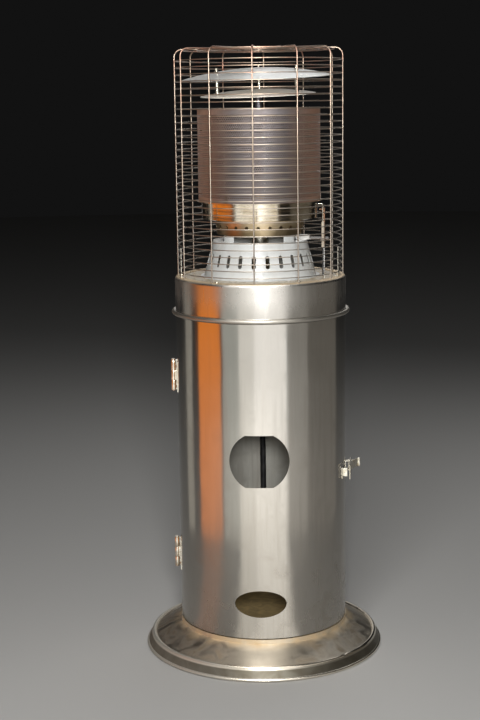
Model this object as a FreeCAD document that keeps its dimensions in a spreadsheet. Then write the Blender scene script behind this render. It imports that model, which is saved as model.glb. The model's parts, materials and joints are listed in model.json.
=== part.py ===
import FreeCAD
import Part
import Sketcher
import math
import os
import re

# Free-standing gas patio heater: a stainless cylinder with a hinged front on a spun base,
# a slotted burner skirt, a perforated emitter under two reflector discs, and a wire guard.
# Millimetres, +Z up, the origin at the middle of the base on the ground, the door facing -Y.
# A bearing is an angle in degrees about Z, from the front (-Y) round towards the right (+X).

V = FreeCAD.Vector
UP = V(0, 0, 1)
os.makedirs("parts", exist_ok=True)
doc = FreeCAD.newDocument("PatioHeater")

# Driving sizes

SIZES = {
    # base pan
    "base_radius": 285, "floor_height": 60, "base_sheet": 2, "foot_roll": 4, "foot_flat": 4,
    "bead_radius": 268, "bead_height": 28, "bead_round": 4, "lip_height": 10, "lip_wall": 1.5,
    # shells and collar
    "body_radius": 199, "shell_wall": 1.2, "slip_gap": 0.1, "seam_gap": 2.4, "door_gap": 2,
    "hand_hole_width": 137, "hand_hole_height": 121, "hand_hole_centre": 492,
    "vent_width": 119, "vent_height": 64, "vent_centre": 155,
    "collar_bottom": 808, "collar_top": 896, "collar_wall": 1, "collar_overlap": 28,
    "swage_round": 5, "swage_reach": 4, "collar_round": 7, "flange_width": 22, "plate_sheet": 1.5,
    # rivets and screws
    "rivet_radius": 2, "rivet_head": 4, "rivet_rise": 1.4, "hole_clearance": 0.1,
    "screw_radius": 2, "screw_head": 4, "screw_rise": 2.4,
    # hinges
    "hinge_height": 72, "hinge_low": 220, "hinge_high": 657, "hinge_offset": 10,
    "knuckle_radius": 6, "knuckle_gap": 0.5, "leaf_sheet": 1.5, "leaf_margin": 0.9, "leaf_sweep": 9,
    "web_sheet": 4, "web_gap": 0.6, "pin_radius": 2.5, "pin_head": 4.6, "run_clearance": 0.08,
    # latch
    "latch_height": 430, "latch_bearing": 96, "latch_rise": 10, "latch_sheet": 1.5,
    "ear_half": 6, "ear_over": 4.5, "lever_half": 10, "lever_length": 41, "lever_lean": 4,
    "lever_sheet": 1.6, "lever_over": 7, "lever_under": 4.5, "lever_roll": 3, "bail_arm": 10,
    "bail_wire": 1.5, "bail_half": 15.5, "keeper_bearing": 76.3, "keeper_rise": 9.5,
    "bar_rise": 6, "bar_gap": 2.7, "latch_pin": 2, "latch_open": 38, "bail_lift": 2.5,
    # burner skirt and bowl
    "skirt_foot": 131, "skirt_top": 109.5, "skirt_height": 83, "skirt_sheet": 1.2,
    "skirt_brim": 8, "skirt_flange": 22, "slot_width": 9.5, "slot_low": 26.5, "slot_tall": 29,
    "slot_count": 24, "skirt_turn": -5, "bowl_gap": 15, "bowl_foot": 100, "bowl_waist": 104,
    "waist_rise": 31, "bowl_radius": 134, "bowl_cone": 37, "bowl_band": 40, "bowl_sheet": 1.2,
    "bowl_flange": 145, "port_radius": 4, "port_rise": 19,
    "standoff_radius": 96, "standoff_sheet": 2, "standoff_start": 37, "standoff_sweep": 20,
    "mixer_radius": 20, "mixer_wall": 1.2, "mixer_mouth": 30, "mixer_start": 17, "mixer_in": 8,
    "injector_radius": 8, "injector_hang": 16, "injector_flange": 13, "injector_rise": 10,
    # emitter and reflectors
    "emitter_radius": 141, "emitter_wall": 1, "emitter_height": 208, "cap_sheet": 1.2,
    "clip_width": 8, "clip_height": 18, "clip_sheet": 1.2, "stem_radius": 8,
    "lower_radius": 133, "lower_rim": 32, "lower_rise": 12, "upper_clear": 20.4, "upper_rim": 71,
    "upper_rise": 22, "disc_sheet": 1.2, "post_circle": 104, "post_radius": 4.5,
    "bolt_radius": 2.4, "bolt_head": 4.4, "bolt_tip": 6, "nut_height": 4,
    "tilt_left": 1.5, "tilt_front": 2.5,
    # guard
    "guard_inset": 6.7, "guard_wire": 1.6, "guard_top": 1416.5, "guard_bend": 18,
    "guard_turn": -2, "guard_count": 12, "guard_eye": 40, "ring_wire": 1.1, "ring_first": 12,
    "ring_pitch": 15.5, "ring_count": 32, "top_ring_count": 5, "weld_gap": 0.05,
    "bracket_width": 12, "bracket_height": 68, "bracket_sheet": 1.5, "bracket_foot": 9,
    # controls at the back of the collar
    "control_drop": 39, "valve_width": 44, "valve_depth": 40, "valve_tall": 34, "valve_set": 22.1,
    "spindle_radius": 4, "spindle_in": 26, "spindle_out": 20, "knob_gap": 6, "knob_radius": 21,
    "knob_depth": 24, "press_room": 6, "igniter_bearing": 157, "igniter_radius": 9,
    "igniter_length": 48, "bezel_radius": 13, "bezel_rise": 3, "button_radius": 6, "button_out": 12,
    "button_in": 15, "pilot_x": 150, "pilot_y": 12, "probe_x": 147, "electrode_y": -3, "probe_y": 27,
    "arm_sheet": 2, "pilot_radius": 3, "pilot_pipe": 2, "electrode_radius": 3.5, "electrode_wire": 1,
    "probe_radius": 2.5, "lead_radius": 1.75, "feed_radius": 4, "seat_gap": 0.05,
    "outlet_rise": 13, "outlet_in": 8, "outlet_stub": 14,
    # hose and regulator
    "hose_radius": 7, "hose_set": 35.1, "nipple_drop": 24, "ferrule_length": 24, "ferrule_wall": 1.2,
    "regulator_x": -3, "regulator_set": 33.1, "regulator_height": 255, "regulator_radius": 34,
    "regulator_depth": 22, "tail_length": 20, "inlet_radius": 6, "wheel_radius": 22,
    "wheel_depth": 16, "thread_radius": 11.2, "thread_length": 20,
}

sheet = doc.addObject("Spreadsheet::Sheet", "Sizes")
for row, (alias, size) in enumerate(SIZES.items(), 1):
    sheet.set(f"A{row}", alias)
    sheet.set(f"B{row}", str(size))
    sheet.setAlias(f"B{row}", alias)
doc.recompute()

WORD = re.compile(r"[A-Za-z_]\w*")


def spell(expression):
    """The expression with each size written as its cell in the sheet."""
    return WORD.sub(lambda w: "Sizes." + w.group() if w.group() in SIZES else w.group(), str(expression))


def number(expression):
    return float(sheet.evalExpression(spell(expression)))


def bind(thing, **expressions):
    for prop, expression in expressions.items():
        thing.setExpression(prop, spell(expression))
    return thing


def place(thing, at, rotation=None):
    """Puts a thing at three expressions, turned by a fixed rotation."""
    thing.Placement = FreeCAD.Placement(V(), rotation or FreeCAD.Rotation())
    for axis, expression in zip("xyz", at):
        thing.setExpression("Placement.Base." + axis, spell(expression))
    return thing


def outward(bearing):
    angle = math.radians(number(bearing))
    return V(math.sin(angle), -math.cos(angle), 0)


def polar(radius, bearing, height):
    """Three expressions for a point at a radius, a bearing and a height."""
    return f"({radius}) * sin({bearing})", f"-({radius}) * cos({bearing})", str(height)


# Building helpers

def draw(body, name, role, outline, arcs=None):
    """A closed sketch through points given as expressions; arcs maps a segment to its centre and turn."""
    arcs = arcs or {}
    sketch = body.newObject("Sketcher::SketchObject", name)
    plane = next(f for f in body.Origin.OriginFeatures if f.Role == role)
    sketch.AttachmentSupport = [(plane, "")]
    sketch.MapMode = "FlatFace"
    points = [V(number(a), number(b), 0) for a, b in outline]
    count = len(points)
    first = [1] * count
    for i, start in enumerate(points):
        end = points[(i + 1) % count]
        if i not in arcs:
            sketch.addGeometry(Part.LineSegment(start, end))
            continue
        centre = V(number(arcs[i][0]), number(arcs[i][1]), 0)
        if arcs[i][2] < 0:
            start, end = end, start
            first[i] = 2
        low = math.atan2(start.y - centre.y, start.x - centre.x)
        high = math.atan2(end.y - centre.y, end.x - centre.x)
        circle = Part.Circle(centre, UP, start.distanceToPoint(centre))
        sketch.addGeometry(Part.ArcOfCircle(circle, low, high if high > low else high + 2 * math.pi))
    for i in range(count):
        following = (i + 1) % count
        sketch.addConstraint(Sketcher.Constraint("Coincident", i, 3 - first[i], following, first[following]))

    def hold(kind, i, position, expression, axis):
        size = number(expression)
        if abs(size) < 1e-9:
            sketch.addConstraint(Sketcher.Constraint("PointOnObject", i, position, axis))
            return
        index = sketch.addConstraint(Sketcher.Constraint(kind, -1, 1, i, position, size))
        sketch.setExpression(f"Constraints[{index}]", spell(expression))

    for i, (across, along) in enumerate(outline):
        hold("DistanceX", i, first[i], across, -2)
        hold("DistanceY", i, first[i], along, -1)
    for i, (across, along, turn) in arcs.items():
        reach = points[(i + 1) % count] - points[i]
        if abs(reach.x) >= abs(reach.y):
            hold("DistanceY", i, 3, along, -1)
        else:
            hold("DistanceX", i, 3, across, -2)
    return sketch


def turned(name, outline, arcs=None):
    """A body turned about Z from a profile of radius and height."""
    body = doc.addObject("PartDesign::Body", name)
    body.Label = name
    revolution = body.newObject("PartDesign::Revolution", name + "_turn")
    sketch = draw(body, name + "_profile", "XZ_Plane", outline, arcs)
    revolution.Profile = sketch
    revolution.ReferenceAxis = (sketch, ["V_Axis"])
    revolution.Angle = 360
    body.Tip = revolution
    doc.recompute()
    return body


def pierced(body, name, outline, reach, count, arcs=None):
    """Cuts an outline through the front wall of a turned body and repeats it round Z."""
    before = body.Shape.Volume
    pocket = body.newObject("PartDesign::Pocket", name)
    pocket.Profile = draw(body, name + "_outline", "XZ_Plane", outline, arcs)
    pocket.Reversed = True
    bind(pocket, Length=reach)
    body.Tip = pocket
    doc.recompute()
    pattern = body.newObject("PartDesign::PolarPattern", name + "_ring")
    pattern.Originals = [pocket]
    axis = next(f for f in body.Origin.OriginFeatures if f.Role == "Z_Axis")
    pattern.Axis = (axis, [""])
    pattern.Angle = 360
    bind(pattern, Occurrences=count)
    body.Tip = pattern
    doc.recompute()
    print(name, "takes away", round(before - body.Shape.Volume, 1), "mm3")


def box(name, size, at, rotation=None):
    block = doc.addObject("Part::Box", name)
    bind(block, Length=size[0], Width=size[1], Height=size[2])
    return place(block, at, rotation)


def rod(name, radius, length, at, axis=UP):
    cylinder = doc.addObject("Part::Cylinder", name)
    bind(cylinder, Radius=radius, Height=length)
    return place(cylinder, at, FreeCAD.Rotation(UP, axis))


def joined(name, kind, pieces):
    if len(pieces) == 1:
        pieces[0].Label = name
        return pieces[0]
    group = doc.addObject(kind, name)
    group.Label = name
    if kind == "Part::Compound":
        group.Links = pieces
    else:
        group.Shapes = pieces
    return group


def fused(name, pieces):
    return joined(name, "Part::MultiFuse", pieces)


def gathered(name, pieces):
    return joined(name, "Part::Compound", pieces)


def cut(name, base, tools):
    result = doc.addObject("Part::Cut", name)
    base.Label = name + "_blank"
    result.Label = name
    result.Base = base
    result.Tool = gathered(name + "_tools", tools)
    return result


def sector(name, radius, wall, low, height, start, sweep):
    """Part of an upright tube: outer radius, wall, foot, height, first bearing and angle round."""
    outer = doc.addObject("Part::Cylinder", name + "_outer")
    bind(outer, Radius=radius, Height=height, Angle=sweep)
    place(outer, ("0", "0", low), FreeCAD.Rotation(UP, number(start) - 90))
    inner = rod(name + "_inner", f"{radius} - ({wall})", f"{height} + 2", ("0", "0", f"{low} - 1"))
    tube = doc.addObject("Part::Cut", name)
    tube.Base = outer
    tube.Tool = inner
    return tube


def radial_rod(name, radius, low, high, bearing, height):
    """A rod that lies along a bearing between two distances from the axis."""
    return rod(name, radius, f"({high}) - ({low})", polar(low, bearing, height), outward(bearing))


def rivets(name, places, inside, outside):
    """Round-headed rivets through a wall, and the tools for their holes."""
    solids, tools = [], []
    for i, (bearing, height) in enumerate(places):
        tag = f"{name}_{i}"
        shank = radial_rod(tag + "_shank", "rivet_radius", f"{inside} - 1",
                           f"{outside} + 0.1", bearing, height)
        head = radial_rod(tag + "_head", "rivet_head", f"{outside} + 0.05",
                          f"{outside} + rivet_rise", bearing, height)
        solids.append(fused(tag, [shank, head]))
        tools.append(radial_rod(tag + "_hole", "rivet_radius + hole_clearance", f"{inside} - 5",
                                f"{outside} + 3", bearing, height))
    return gathered(name, solids), tools


def bent_path(points, bends):
    """Straight runs through the points, joined by arcs of the radii given for the corners."""
    edges, start = [], points[0]
    for i in range(1, len(points) - 1):
        back = (points[i - 1] - points[i]).normalize()
        ahead = (points[i + 1] - points[i]).normalize()
        half = (math.pi - back.getAngle(ahead)) / 2
        bend = bends[i - 1]
        leave, join = points[i] + back * bend * math.tan(half), points[i] + ahead * bend * math.tan(half)
        middle = points[i] + (back + ahead).normalize() * (bend / math.cos(half) - bend)
        edges.append(Part.LineSegment(start, leave).toShape())
        edges.append(Part.Arc(leave, middle, join).toShape())
        start = join
    edges.append(Part.LineSegment(start, points[-1]).toShape())
    return Part.Wire(edges)


def tube_along(points, bends, radius):
    path = bent_path(points, bends)
    circle = Part.Wire([Part.Circle(points[0], points[1] - points[0], radius).toShape()])
    return path.makePipeShell([circle], True, False), path.Length


def bent_rod(name, points, bends, radius, copies=(0,)):
    """A bent round rod along points in millimetres, repeated at bearings about Z."""
    shape, length = tube_along(points, bends, radius)
    solids = []
    for bearing in copies:
        solid = shape.copy()
        solid.rotate(V(), UP, bearing)
        solids.append(solid)
    feature = doc.addObject("Part::Feature", name)
    feature.Label = name
    feature.Shape = solids[0] if len(solids) == 1 else Part.makeCompound(solids)
    return feature, shape.Volume, length


def point(*expressions):
    return V(*[number(e) for e in expressions])


# Heights and radii that several pieces share

lip_in = "(body_radius + slip_gap)"
lip_out = "(body_radius + slip_gap + lip_wall)"
collar_in = "(body_radius + slip_gap)"
collar_out = "(body_radius + slip_gap + collar_wall)"
control_height = "(collar_top - control_drop)"
valve_back = f"({collar_out} - valve_set)"
hose_y = f"({collar_out} - hose_set)"
regulator_y = f"({collar_out} - regulator_set)"
guard_radius = f"({collar_out} - guard_inset)"
upper_radius = f"({guard_radius} - upper_clear)"
leaf_out = "(body_radius + slip_gap + leaf_sheet)"
plate_top = "(collar_top - collar_wall)"
plate_bottom = "(collar_top - collar_wall - plate_sheet)"
skirt_end = f"({plate_top} + skirt_height)"
bowl_bottom = f"({skirt_end} + bowl_gap)"
bowl_edge = f"({bowl_bottom} + bowl_cone)"
bowl_top = f"({bowl_edge} + bowl_band)"
cap_bottom = f"({bowl_top} + emitter_height)"
cap_top = f"({cap_bottom} + cap_sheet)"
seam = "(90 * seam_gap / (3.14159 * body_radius))"
shell_bearings = [110, 145, 180, 215, 250]
nodes = []

# Base pan, shells and their rivets

base = turned("base_pan_sheet", [
    ("0", "floor_height"), (lip_in, "floor_height"), (lip_in, "floor_height + lip_height"),
    (lip_out, "floor_height + lip_height"), (lip_out, "floor_height"),
    ("bead_radius - bead_round", "bead_height"), ("bead_radius + bead_round", "bead_height"),
    ("base_radius - foot_roll", "2 * foot_roll"), ("base_radius - foot_roll", "0"),
    ("base_radius - foot_roll - foot_flat", "0"), ("base_radius - foot_roll - foot_flat", "foot_roll"),
    ("bead_radius + bead_round - base_sheet", "bead_height - base_sheet"),
    ("bead_radius - bead_round - base_sheet", "bead_height - base_sheet"),
    (lip_out, "floor_height - base_sheet"), ("0", "floor_height - base_sheet")],
    {5: ("bead_radius", "bead_height", -1), 7: ("base_radius - foot_roll", "foot_roll", -1)})
lip_rivets, lip_holes = rivets("lip_rivets", [(b, "floor_height + lip_height / 2") for b in shell_bearings],
                               "body_radius - shell_wall", lip_out)
collar_rivets, collar_holes = rivets(
    "collar_rivets", [(b, "collar_bottom + collar_overlap - 8") for b in shell_bearings],
    "body_radius - shell_wall", collar_out)
frame_leaf_rivets, frame_leaf_holes = rivets(
    "frame_leaf_rivets", [(f"-95.5 - {side}", f"{hinge} + {up}") for hinge in ("hinge_low", "hinge_high")
                           for side, up in ((0, -24), (0, 24))], "body_radius - shell_wall", leaf_out)
door_leaf_rivets, door_leaf_holes = rivets(
    "door_leaf_rivets", [(f"-84.5 + {side}", f"{hinge} + {up}") for hinge in ("hinge_low", "hinge_high")
                          for side, up in ((0, -24), (0, 24))], "body_radius - shell_wall", leaf_out)
latch_rivets, latch_holes = rivets(
    "latch_base_rivets", [("latch_bearing + 8.5", f"latch_height + {up}") for up in (-6, 6)],
    "body_radius - shell_wall", "(body_radius + slip_gap + latch_sheet)")
keeper_rivets, keeper_holes = rivets(
    "latch_keeper_rivets", [("keeper_bearing + 2.6", f"latch_height + {up}") for up in (-7, 7)],
    "body_radius - shell_wall", "(body_radius + slip_gap + latch_sheet)")
nodes += [cut("base_pan", base, lip_holes), gathered("shell_rivets", [lip_rivets, collar_rivets]),
          gathered("frame_rivets", [frame_leaf_rivets, latch_rivets]),
          gathered("door_rivets", [door_leaf_rivets, keeper_rivets])]

rear = sector("rear_tube", "body_radius", "shell_wall", "floor_height",
              "(collar_bottom + collar_overlap - floor_height)", f"90 + {seam}", f"180 - 2 * {seam}")
nodes.append(cut("rear_shell", rear, lip_holes + collar_holes + frame_leaf_holes + latch_holes))

door_low = "(floor_height + lip_height + door_gap)"
front = sector("front_tube", "body_radius", "shell_wall", door_low,
               f"(collar_bottom - door_gap - {door_low})", f"270 + {seam}", f"180 - 2 * {seam}")
forward = V(0, -1, 0)
hand_round = rod("hand_hole_round", "hand_hole_width / 2", "body_radius + 10",
                 ("0", "0", "hand_hole_centre"), forward)
hand_flat = box("hand_hole_flat", ("hand_hole_width", "body_radius + 10", "hand_hole_height"),
                ("-hand_hole_width / 2", "-body_radius - 10", "hand_hole_centre - hand_hole_height / 2"))
hand_hole = doc.addObject("Part::MultiCommon", "hand_hole")
hand_hole.Shapes = [hand_round, hand_flat]
vent_ring = doc.addObject("Part::Ellipse", "vent_ring")
bind(vent_ring, MajorRadius="vent_width / 2", MinorRadius="vent_height / 2")
place(vent_ring, ("0", "0", "vent_centre"), FreeCAD.Rotation(V(1, 0, 0), 90))
vent_hole = doc.addObject("Part::Extrusion", "vent_hole")
vent_hole.Base = vent_ring
vent_hole.DirMode = "Custom"
vent_hole.Dir = forward
vent_hole.Solid = True
bind(vent_hole, LengthFwd="body_radius + 10")
nodes.append(cut("door_shell", front, [hand_hole, vent_hole] + door_leaf_holes + keeper_holes))

# Hinges at the left seam

hinge_x = "(-body_radius - hinge_offset)"
third = "(hinge_height / 3)"
web_reach = "hinge_offset - slip_gap - leaf_sheet / 2"
frame_leaves, door_leaves, pins = [], [], []
for tag, centre in (("low", "hinge_low"), ("high", "hinge_high")):
    foot = f"({centre} - hinge_height / 2)"
    frame_parts = [sector(f"frame_plate_{tag}", leaf_out, "leaf_sheet", foot, "hinge_height",
                          "-90 - leaf_margin - leaf_sweep", "leaf_sweep")]
    for step in (0, 2):
        low = f"{foot} + {step} * {third}"
        frame_parts.append(rod(f"frame_knuckle_{tag}_{step}", "knuckle_radius", f"{third} - knuckle_gap",
                               (hinge_x, "0", f"{low} + knuckle_gap / 2")))
        frame_parts.append(box(f"frame_web_{tag}_{step}", (web_reach, "web_sheet", f"{third} - knuckle_gap"),
                               (hinge_x, "web_gap", f"{low} + knuckle_gap / 2")))
    door_parts = [sector(f"door_plate_{tag}", leaf_out, "leaf_sheet", foot, "hinge_height",
                         "-90 + leaf_margin", "leaf_sweep"),
                  rod(f"door_knuckle_{tag}", "knuckle_radius", f"{third} - knuckle_gap",
                      (hinge_x, "0", f"{foot} + {third} + knuckle_gap / 2")),
                  box(f"door_web_{tag}", (web_reach, "web_sheet", f"{third} - knuckle_gap"),
                      (hinge_x, "-web_gap - web_sheet", f"{foot} + {third} + knuckle_gap / 2"))]
    bore = rod(f"hinge_bore_{tag}", "pin_radius + run_clearance", "hinge_height + 2",
               (hinge_x, "0", f"{foot} - 1"))
    frame_leaves.append(cut(f"frame_leaf_{tag}", fused(f"frame_leaf_{tag}_joined", frame_parts),
                            [bore] + frame_leaf_holes))
    door_leaves.append(cut(f"door_leaf_{tag}", fused(f"door_leaf_{tag}_joined", door_parts),
                           [bore] + door_leaf_holes))
    shaft = rod(f"pin_shaft_{tag}", "pin_radius", "hinge_height + 3", (hinge_x, "0", f"{foot} - 2"))
    head = rod(f"pin_head_{tag}", "pin_head", "3", (hinge_x, "0", f"{foot} + hinge_height + 0.2"))
    pins.append(fused(f"hinge_pin_{tag}", [shaft, head]))
nodes += [gathered("hinge_frame_leaves", frame_leaves), gathered("hinge_door_leaves", door_leaves),
          gathered("hinge_pins", pins)]

# Draw latch at the right seam, standing open with its bail lifted off the keeper

latch_out = "(body_radius + slip_gap + latch_sheet)"
pivot = polar("body_radius + latch_rise", "latch_bearing", "latch_height")


def latch_frame(turn):
    return FreeCAD.Rotation(UP, turn)


def latch_box(name, size, corner, turn):
    """A block given in a frame at the lever's pivot, x along the lever and y towards the shell."""
    rotation = latch_frame(turn)
    shift = rotation.multVec(point(*corner))
    return box(name, size, [f"{p} + ({s})" for p, s in zip(pivot, shift)], rotation)


def latch_rod(name, radius, length, corner, turn):
    shift = latch_frame(turn).multVec(point(*corner))
    return rod(name, radius, length, [f"{p} + ({s})" for p, s in zip(pivot, shift)])


ear_sheet = "latch_sheet"
ear_low = "lever_half + 0.3"
base_turn = number("latch_bearing")
base_parts = [sector("latch_plate", latch_out, "latch_sheet", f"(latch_height - {ear_low} - {ear_sheet})",
                     f"2 * ({ear_low} + {ear_sheet})", "latch_bearing - 3", "14.5")]
ear_reach = "ear_over + latch_rise - slip_gap - latch_sheet / 2"
for side, low in (("top", f"{ear_low}"), ("bottom", f"-({ear_low}) - {ear_sheet}")):
    base_parts.append(latch_box(f"latch_ear_{side}", ("2 * ear_half", ear_reach, ear_sheet),
                                ("-ear_half", "-ear_over", low), base_turn))
pin_hole = latch_rod("latch_pin_hole", "latch_pin + run_clearance", "4 * lever_half",
                     ("0", "0", "-2 * lever_half"), base_turn)
nodes.append(cut("latch_base", fused("latch_base_joined", base_parts), [pin_hole] + latch_holes))

pin_end = f"({ear_low} + {ear_sheet} + 0.2)"
nodes.append(fused("latch_pivot_pin", [
    latch_rod("latch_pin_shank", "latch_pin", f"2 * {pin_end} + 1",
              ("0", "0", f"-{pin_end} - 0.5"), base_turn),
    latch_rod("latch_pin_cap_top", "latch_pin + 1.3", "1.2", ("0", "0", pin_end), base_turn),
    latch_rod("latch_pin_cap_low", "latch_pin + 1.3", "1.2", ("0", "0", f"-{pin_end} - 1.2"), base_turn)]))

shut_turn = number("latch_bearing + lever_lean")
rest_turn = shut_turn - number("latch_open")
cheek = ("22", "lever_over + lever_under", "lever_sheet")
lever_parts = [
    latch_box("lever_top", ("lever_length + 6", "lever_sheet", "2 * lever_half"),
              ("-6", "-lever_over", "-lever_half"), rest_turn),
    latch_box("lever_cheek_high", cheek, ("-6", "-lever_over", "lever_half - lever_sheet"), rest_turn),
    latch_box("lever_cheek_low", cheek, ("-6", "-lever_over", "-lever_half"), rest_turn),
    latch_rod("lever_roll", "lever_roll", "2 * lever_half",
              ("lever_length", "-lever_over - lever_roll / 2 + lever_sheet / 2", "-lever_half"), rest_turn)]
lever_pin_hole = latch_rod("lever_pin_hole", "latch_pin + run_clearance", "4 * lever_half",
                           ("0", "0", "-2 * lever_half"), rest_turn)
bail_hole = latch_rod("lever_bail_hole", "bail_wire + run_clearance", "4 * lever_half",
                      ("bail_arm", "0", "-2 * lever_half"), rest_turn)
nodes.append(cut("latch_lever", fused("latch_lever_joined", lever_parts), [lever_pin_hole, bail_hole]))

pivot_point = point(*pivot)
bail_shut = pivot_point + latch_frame(shut_turn).multVec(point("bail_arm", "0", "0"))
bail_rest = pivot_point + latch_frame(rest_turn).multVec(point("bail_arm", "0", "0"))
bar_bearing = "keeper_bearing - bar_gap * 57.2958 / (body_radius + bar_rise)"
bar_shut = point(*polar("body_radius + bar_rise", bar_bearing, "latch_height"))
bail_span = FreeCAD.Rotation(UP, number("bail_lift")).multVec(bar_shut - bail_shut)
bar_rest = bail_rest + bail_span
half = number("bail_half") * UP
stub_end = number("lever_half - lever_sheet - 1") * UP
bail_parts = []
for name, start, end in (("arm_high", bail_rest + half, bar_rest + half),
                         ("arm_low", bail_rest - half, bar_rest - half),
                         ("bar", bar_rest - half, bar_rest + half),
                         ("stub_high", bail_rest + stub_end, bail_rest + half),
                         ("stub_low", bail_rest - half, bail_rest - stub_end)):
    bail_parts.append(rod("bail_" + name, "bail_wire", end.distanceToPoint(start), start, end - start))
for i, corner in enumerate((bail_rest + half, bail_rest - half, bar_rest + half, bar_rest - half)):
    ball = doc.addObject("Part::Sphere", f"bail_corner_{i}")
    bind(ball, Radius="bail_wire")
    bail_parts.append(place(ball, corner))
nodes.append(fused("latch_bail", bail_parts))

tab_turn = FreeCAD.Rotation(UP, number("keeper_bearing") - 90)
keeper_parts = [
    sector("keeper_plate", latch_out, "latch_sheet", "(latch_height - 13)", "26",
           "keeper_bearing - 4", "8.2"),
    box("keeper_tab", ("keeper_rise - slip_gap - latch_sheet / 2", "latch_sheet", "20"),
        polar("body_radius + slip_gap + latch_sheet / 2", "keeper_bearing", "latch_height - 10"), tab_turn)]
nodes.append(cut("latch_keeper", fused("latch_keeper_joined", keeper_parts), keeper_holes))

# Collar and top plate

swage_out = f"({collar_out} + swage_reach)"
bend_in = f"({collar_out} - collar_round)"
collar = turned("collar_sheet", [
    (collar_in, "collar_bottom"), (swage_out, "collar_bottom"),
    (swage_out, "collar_bottom + 2 * swage_round"), (collar_out, "collar_bottom + 2 * swage_round"),
    (collar_out, "collar_top - collar_round"), (bend_in, "collar_top"),
    (f"{collar_out} - flange_width", "collar_top"), (f"{collar_out} - flange_width", plate_top),
    (bend_in, plate_top), (collar_in, "collar_top - collar_round")],
    {1: (swage_out, "collar_bottom + swage_round", 1), 4: (bend_in, "collar_top - collar_round", 1),
     8: (bend_in, "collar_top - collar_round", -1)})
screw_circle = f"({collar_out} - flange_width + screw_head + 2)"
screws, screw_holes = [], []
for i in range(6):
    where = polar(screw_circle, 30 + 60 * i, "0")[:2]
    shank = rod(f"screw_shank_{i}", "screw_radius", "collar_wall + plate_sheet + 8",
                (*where, f"{plate_bottom} - 8"))
    top = rod(f"screw_top_{i}", "screw_head", "screw_rise", (*where, "collar_top"))
    screws.append(fused(f"flange_screw_{i}", [shank, top]))
    screw_holes.append(rod(f"screw_hole_{i}", "screw_radius + hole_clearance", "40",
                           (*where, "collar_top - 20")))
spindle_hole = radial_rod("spindle_hole", "spindle_radius + 2", "body_radius - 20", "body_radius + 20",
                          "180", control_height)
igniter_hole = radial_rod("igniter_hole", "igniter_radius + hole_clearance", "body_radius - 20",
                          "body_radius + 20", "igniter_bearing", control_height)
nodes.append(cut("collar", collar, collar_holes + screw_holes + [spindle_hole, igniter_hole]))
nodes.append(gathered("flange_screws", screws))

plate = turned("plate_disc", [("0", plate_bottom), (bend_in, plate_bottom),
                              (bend_in, plate_top), ("0", plate_top)])
plate_holes = [
    rod("injector_hole", "injector_radius + hole_clearance", "40", ("0", "0", f"{plate_top} - 20")),
    rod("pilot_hole", "pilot_pipe + 1", "40", ("pilot_x", "pilot_y", f"{plate_top} - 20")),
    rod("electrode_hole", "lead_radius + 1", "40", ("probe_x", "electrode_y", f"{plate_top} - 20")),
    rod("probe_hole", "lead_radius + 0.5", "40", ("probe_x", "probe_y", f"{plate_top} - 20"))]
nodes.append(cut("top_plate", plate, screw_holes + plate_holes))

# Burner skirt, stand-offs, bowl, mixing tube and injector

skirt_low = plate_top
skirt = turned("burner_skirt", [
    ("skirt_foot - skirt_sheet", skirt_low), ("skirt_foot + skirt_brim", skirt_low),
    ("skirt_foot + skirt_brim", f"{skirt_low} + skirt_sheet"), ("skirt_foot", f"{skirt_low} + skirt_sheet"),
    ("skirt_top", skirt_end), ("skirt_top - skirt_flange", skirt_end),
    ("skirt_top - skirt_flange", f"{skirt_end} - skirt_sheet"),
    ("skirt_top - skirt_sheet", f"{skirt_end} - skirt_sheet")])
slot_in = "slot_width / 2"
slot_base = f"({skirt_low} + slot_low + slot_width / 2)"
slot_head = f"({skirt_low} + slot_low + slot_tall - slot_width / 2)"
pierced(skirt, "skirt_slot", [
    (f"-{slot_in}", slot_base), (slot_in, slot_base), (slot_in, slot_head), (f"-{slot_in}", slot_head)],
    "skirt_foot + 20", "slot_count", {0: ("0", slot_base, 1), 2: ("0", slot_head, 1)})
skirt.Placement = FreeCAD.Placement(V(), FreeCAD.Rotation(UP, number("skirt_turn")))
nodes.append(skirt)

standoff_starts = ("standoff_start", "180 - standoff_start - standoff_sweep",
                   "180 + standoff_start", "-standoff_start - standoff_sweep")
standoffs = [sector(f"standoff_{i}", "standoff_radius", "standoff_sheet", skirt_end, "bowl_gap",
                    start, "standoff_sweep") for i, start in enumerate(standoff_starts)]
nodes.append(gathered("burner_standoffs", standoffs))

neck = "(mixer_radius + hole_clearance)"
bowl = turned("burner_bowl", [
    (neck, bowl_bottom), ("bowl_foot", bowl_bottom), ("bowl_waist", f"{bowl_bottom} + waist_rise"),
    ("bowl_radius", bowl_edge),
    ("bowl_radius", f"{bowl_top} - bowl_sheet"), ("bowl_flange", f"{bowl_top} - bowl_sheet"),
    ("bowl_flange", bowl_top), ("bowl_radius - bowl_sheet", bowl_top),
    ("bowl_radius - bowl_sheet", f"{bowl_edge} + bowl_sheet"),
    ("bowl_waist - bowl_sheet", f"{bowl_bottom} + waist_rise + bowl_sheet"),
    ("bowl_foot - bowl_sheet", f"{bowl_bottom} + bowl_sheet"), (neck, f"{bowl_bottom} + bowl_sheet")])
port = f"({bowl_bottom} + port_rise)"
pierced(bowl, "bowl_port", [("0", f"{port} - port_radius"), ("0", f"{port} + port_radius")],
        "bowl_radius + 20", "slot_count", {0: ("0", port, 1), 1: ("0", port, 1)})
nodes.append(bowl)

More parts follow.
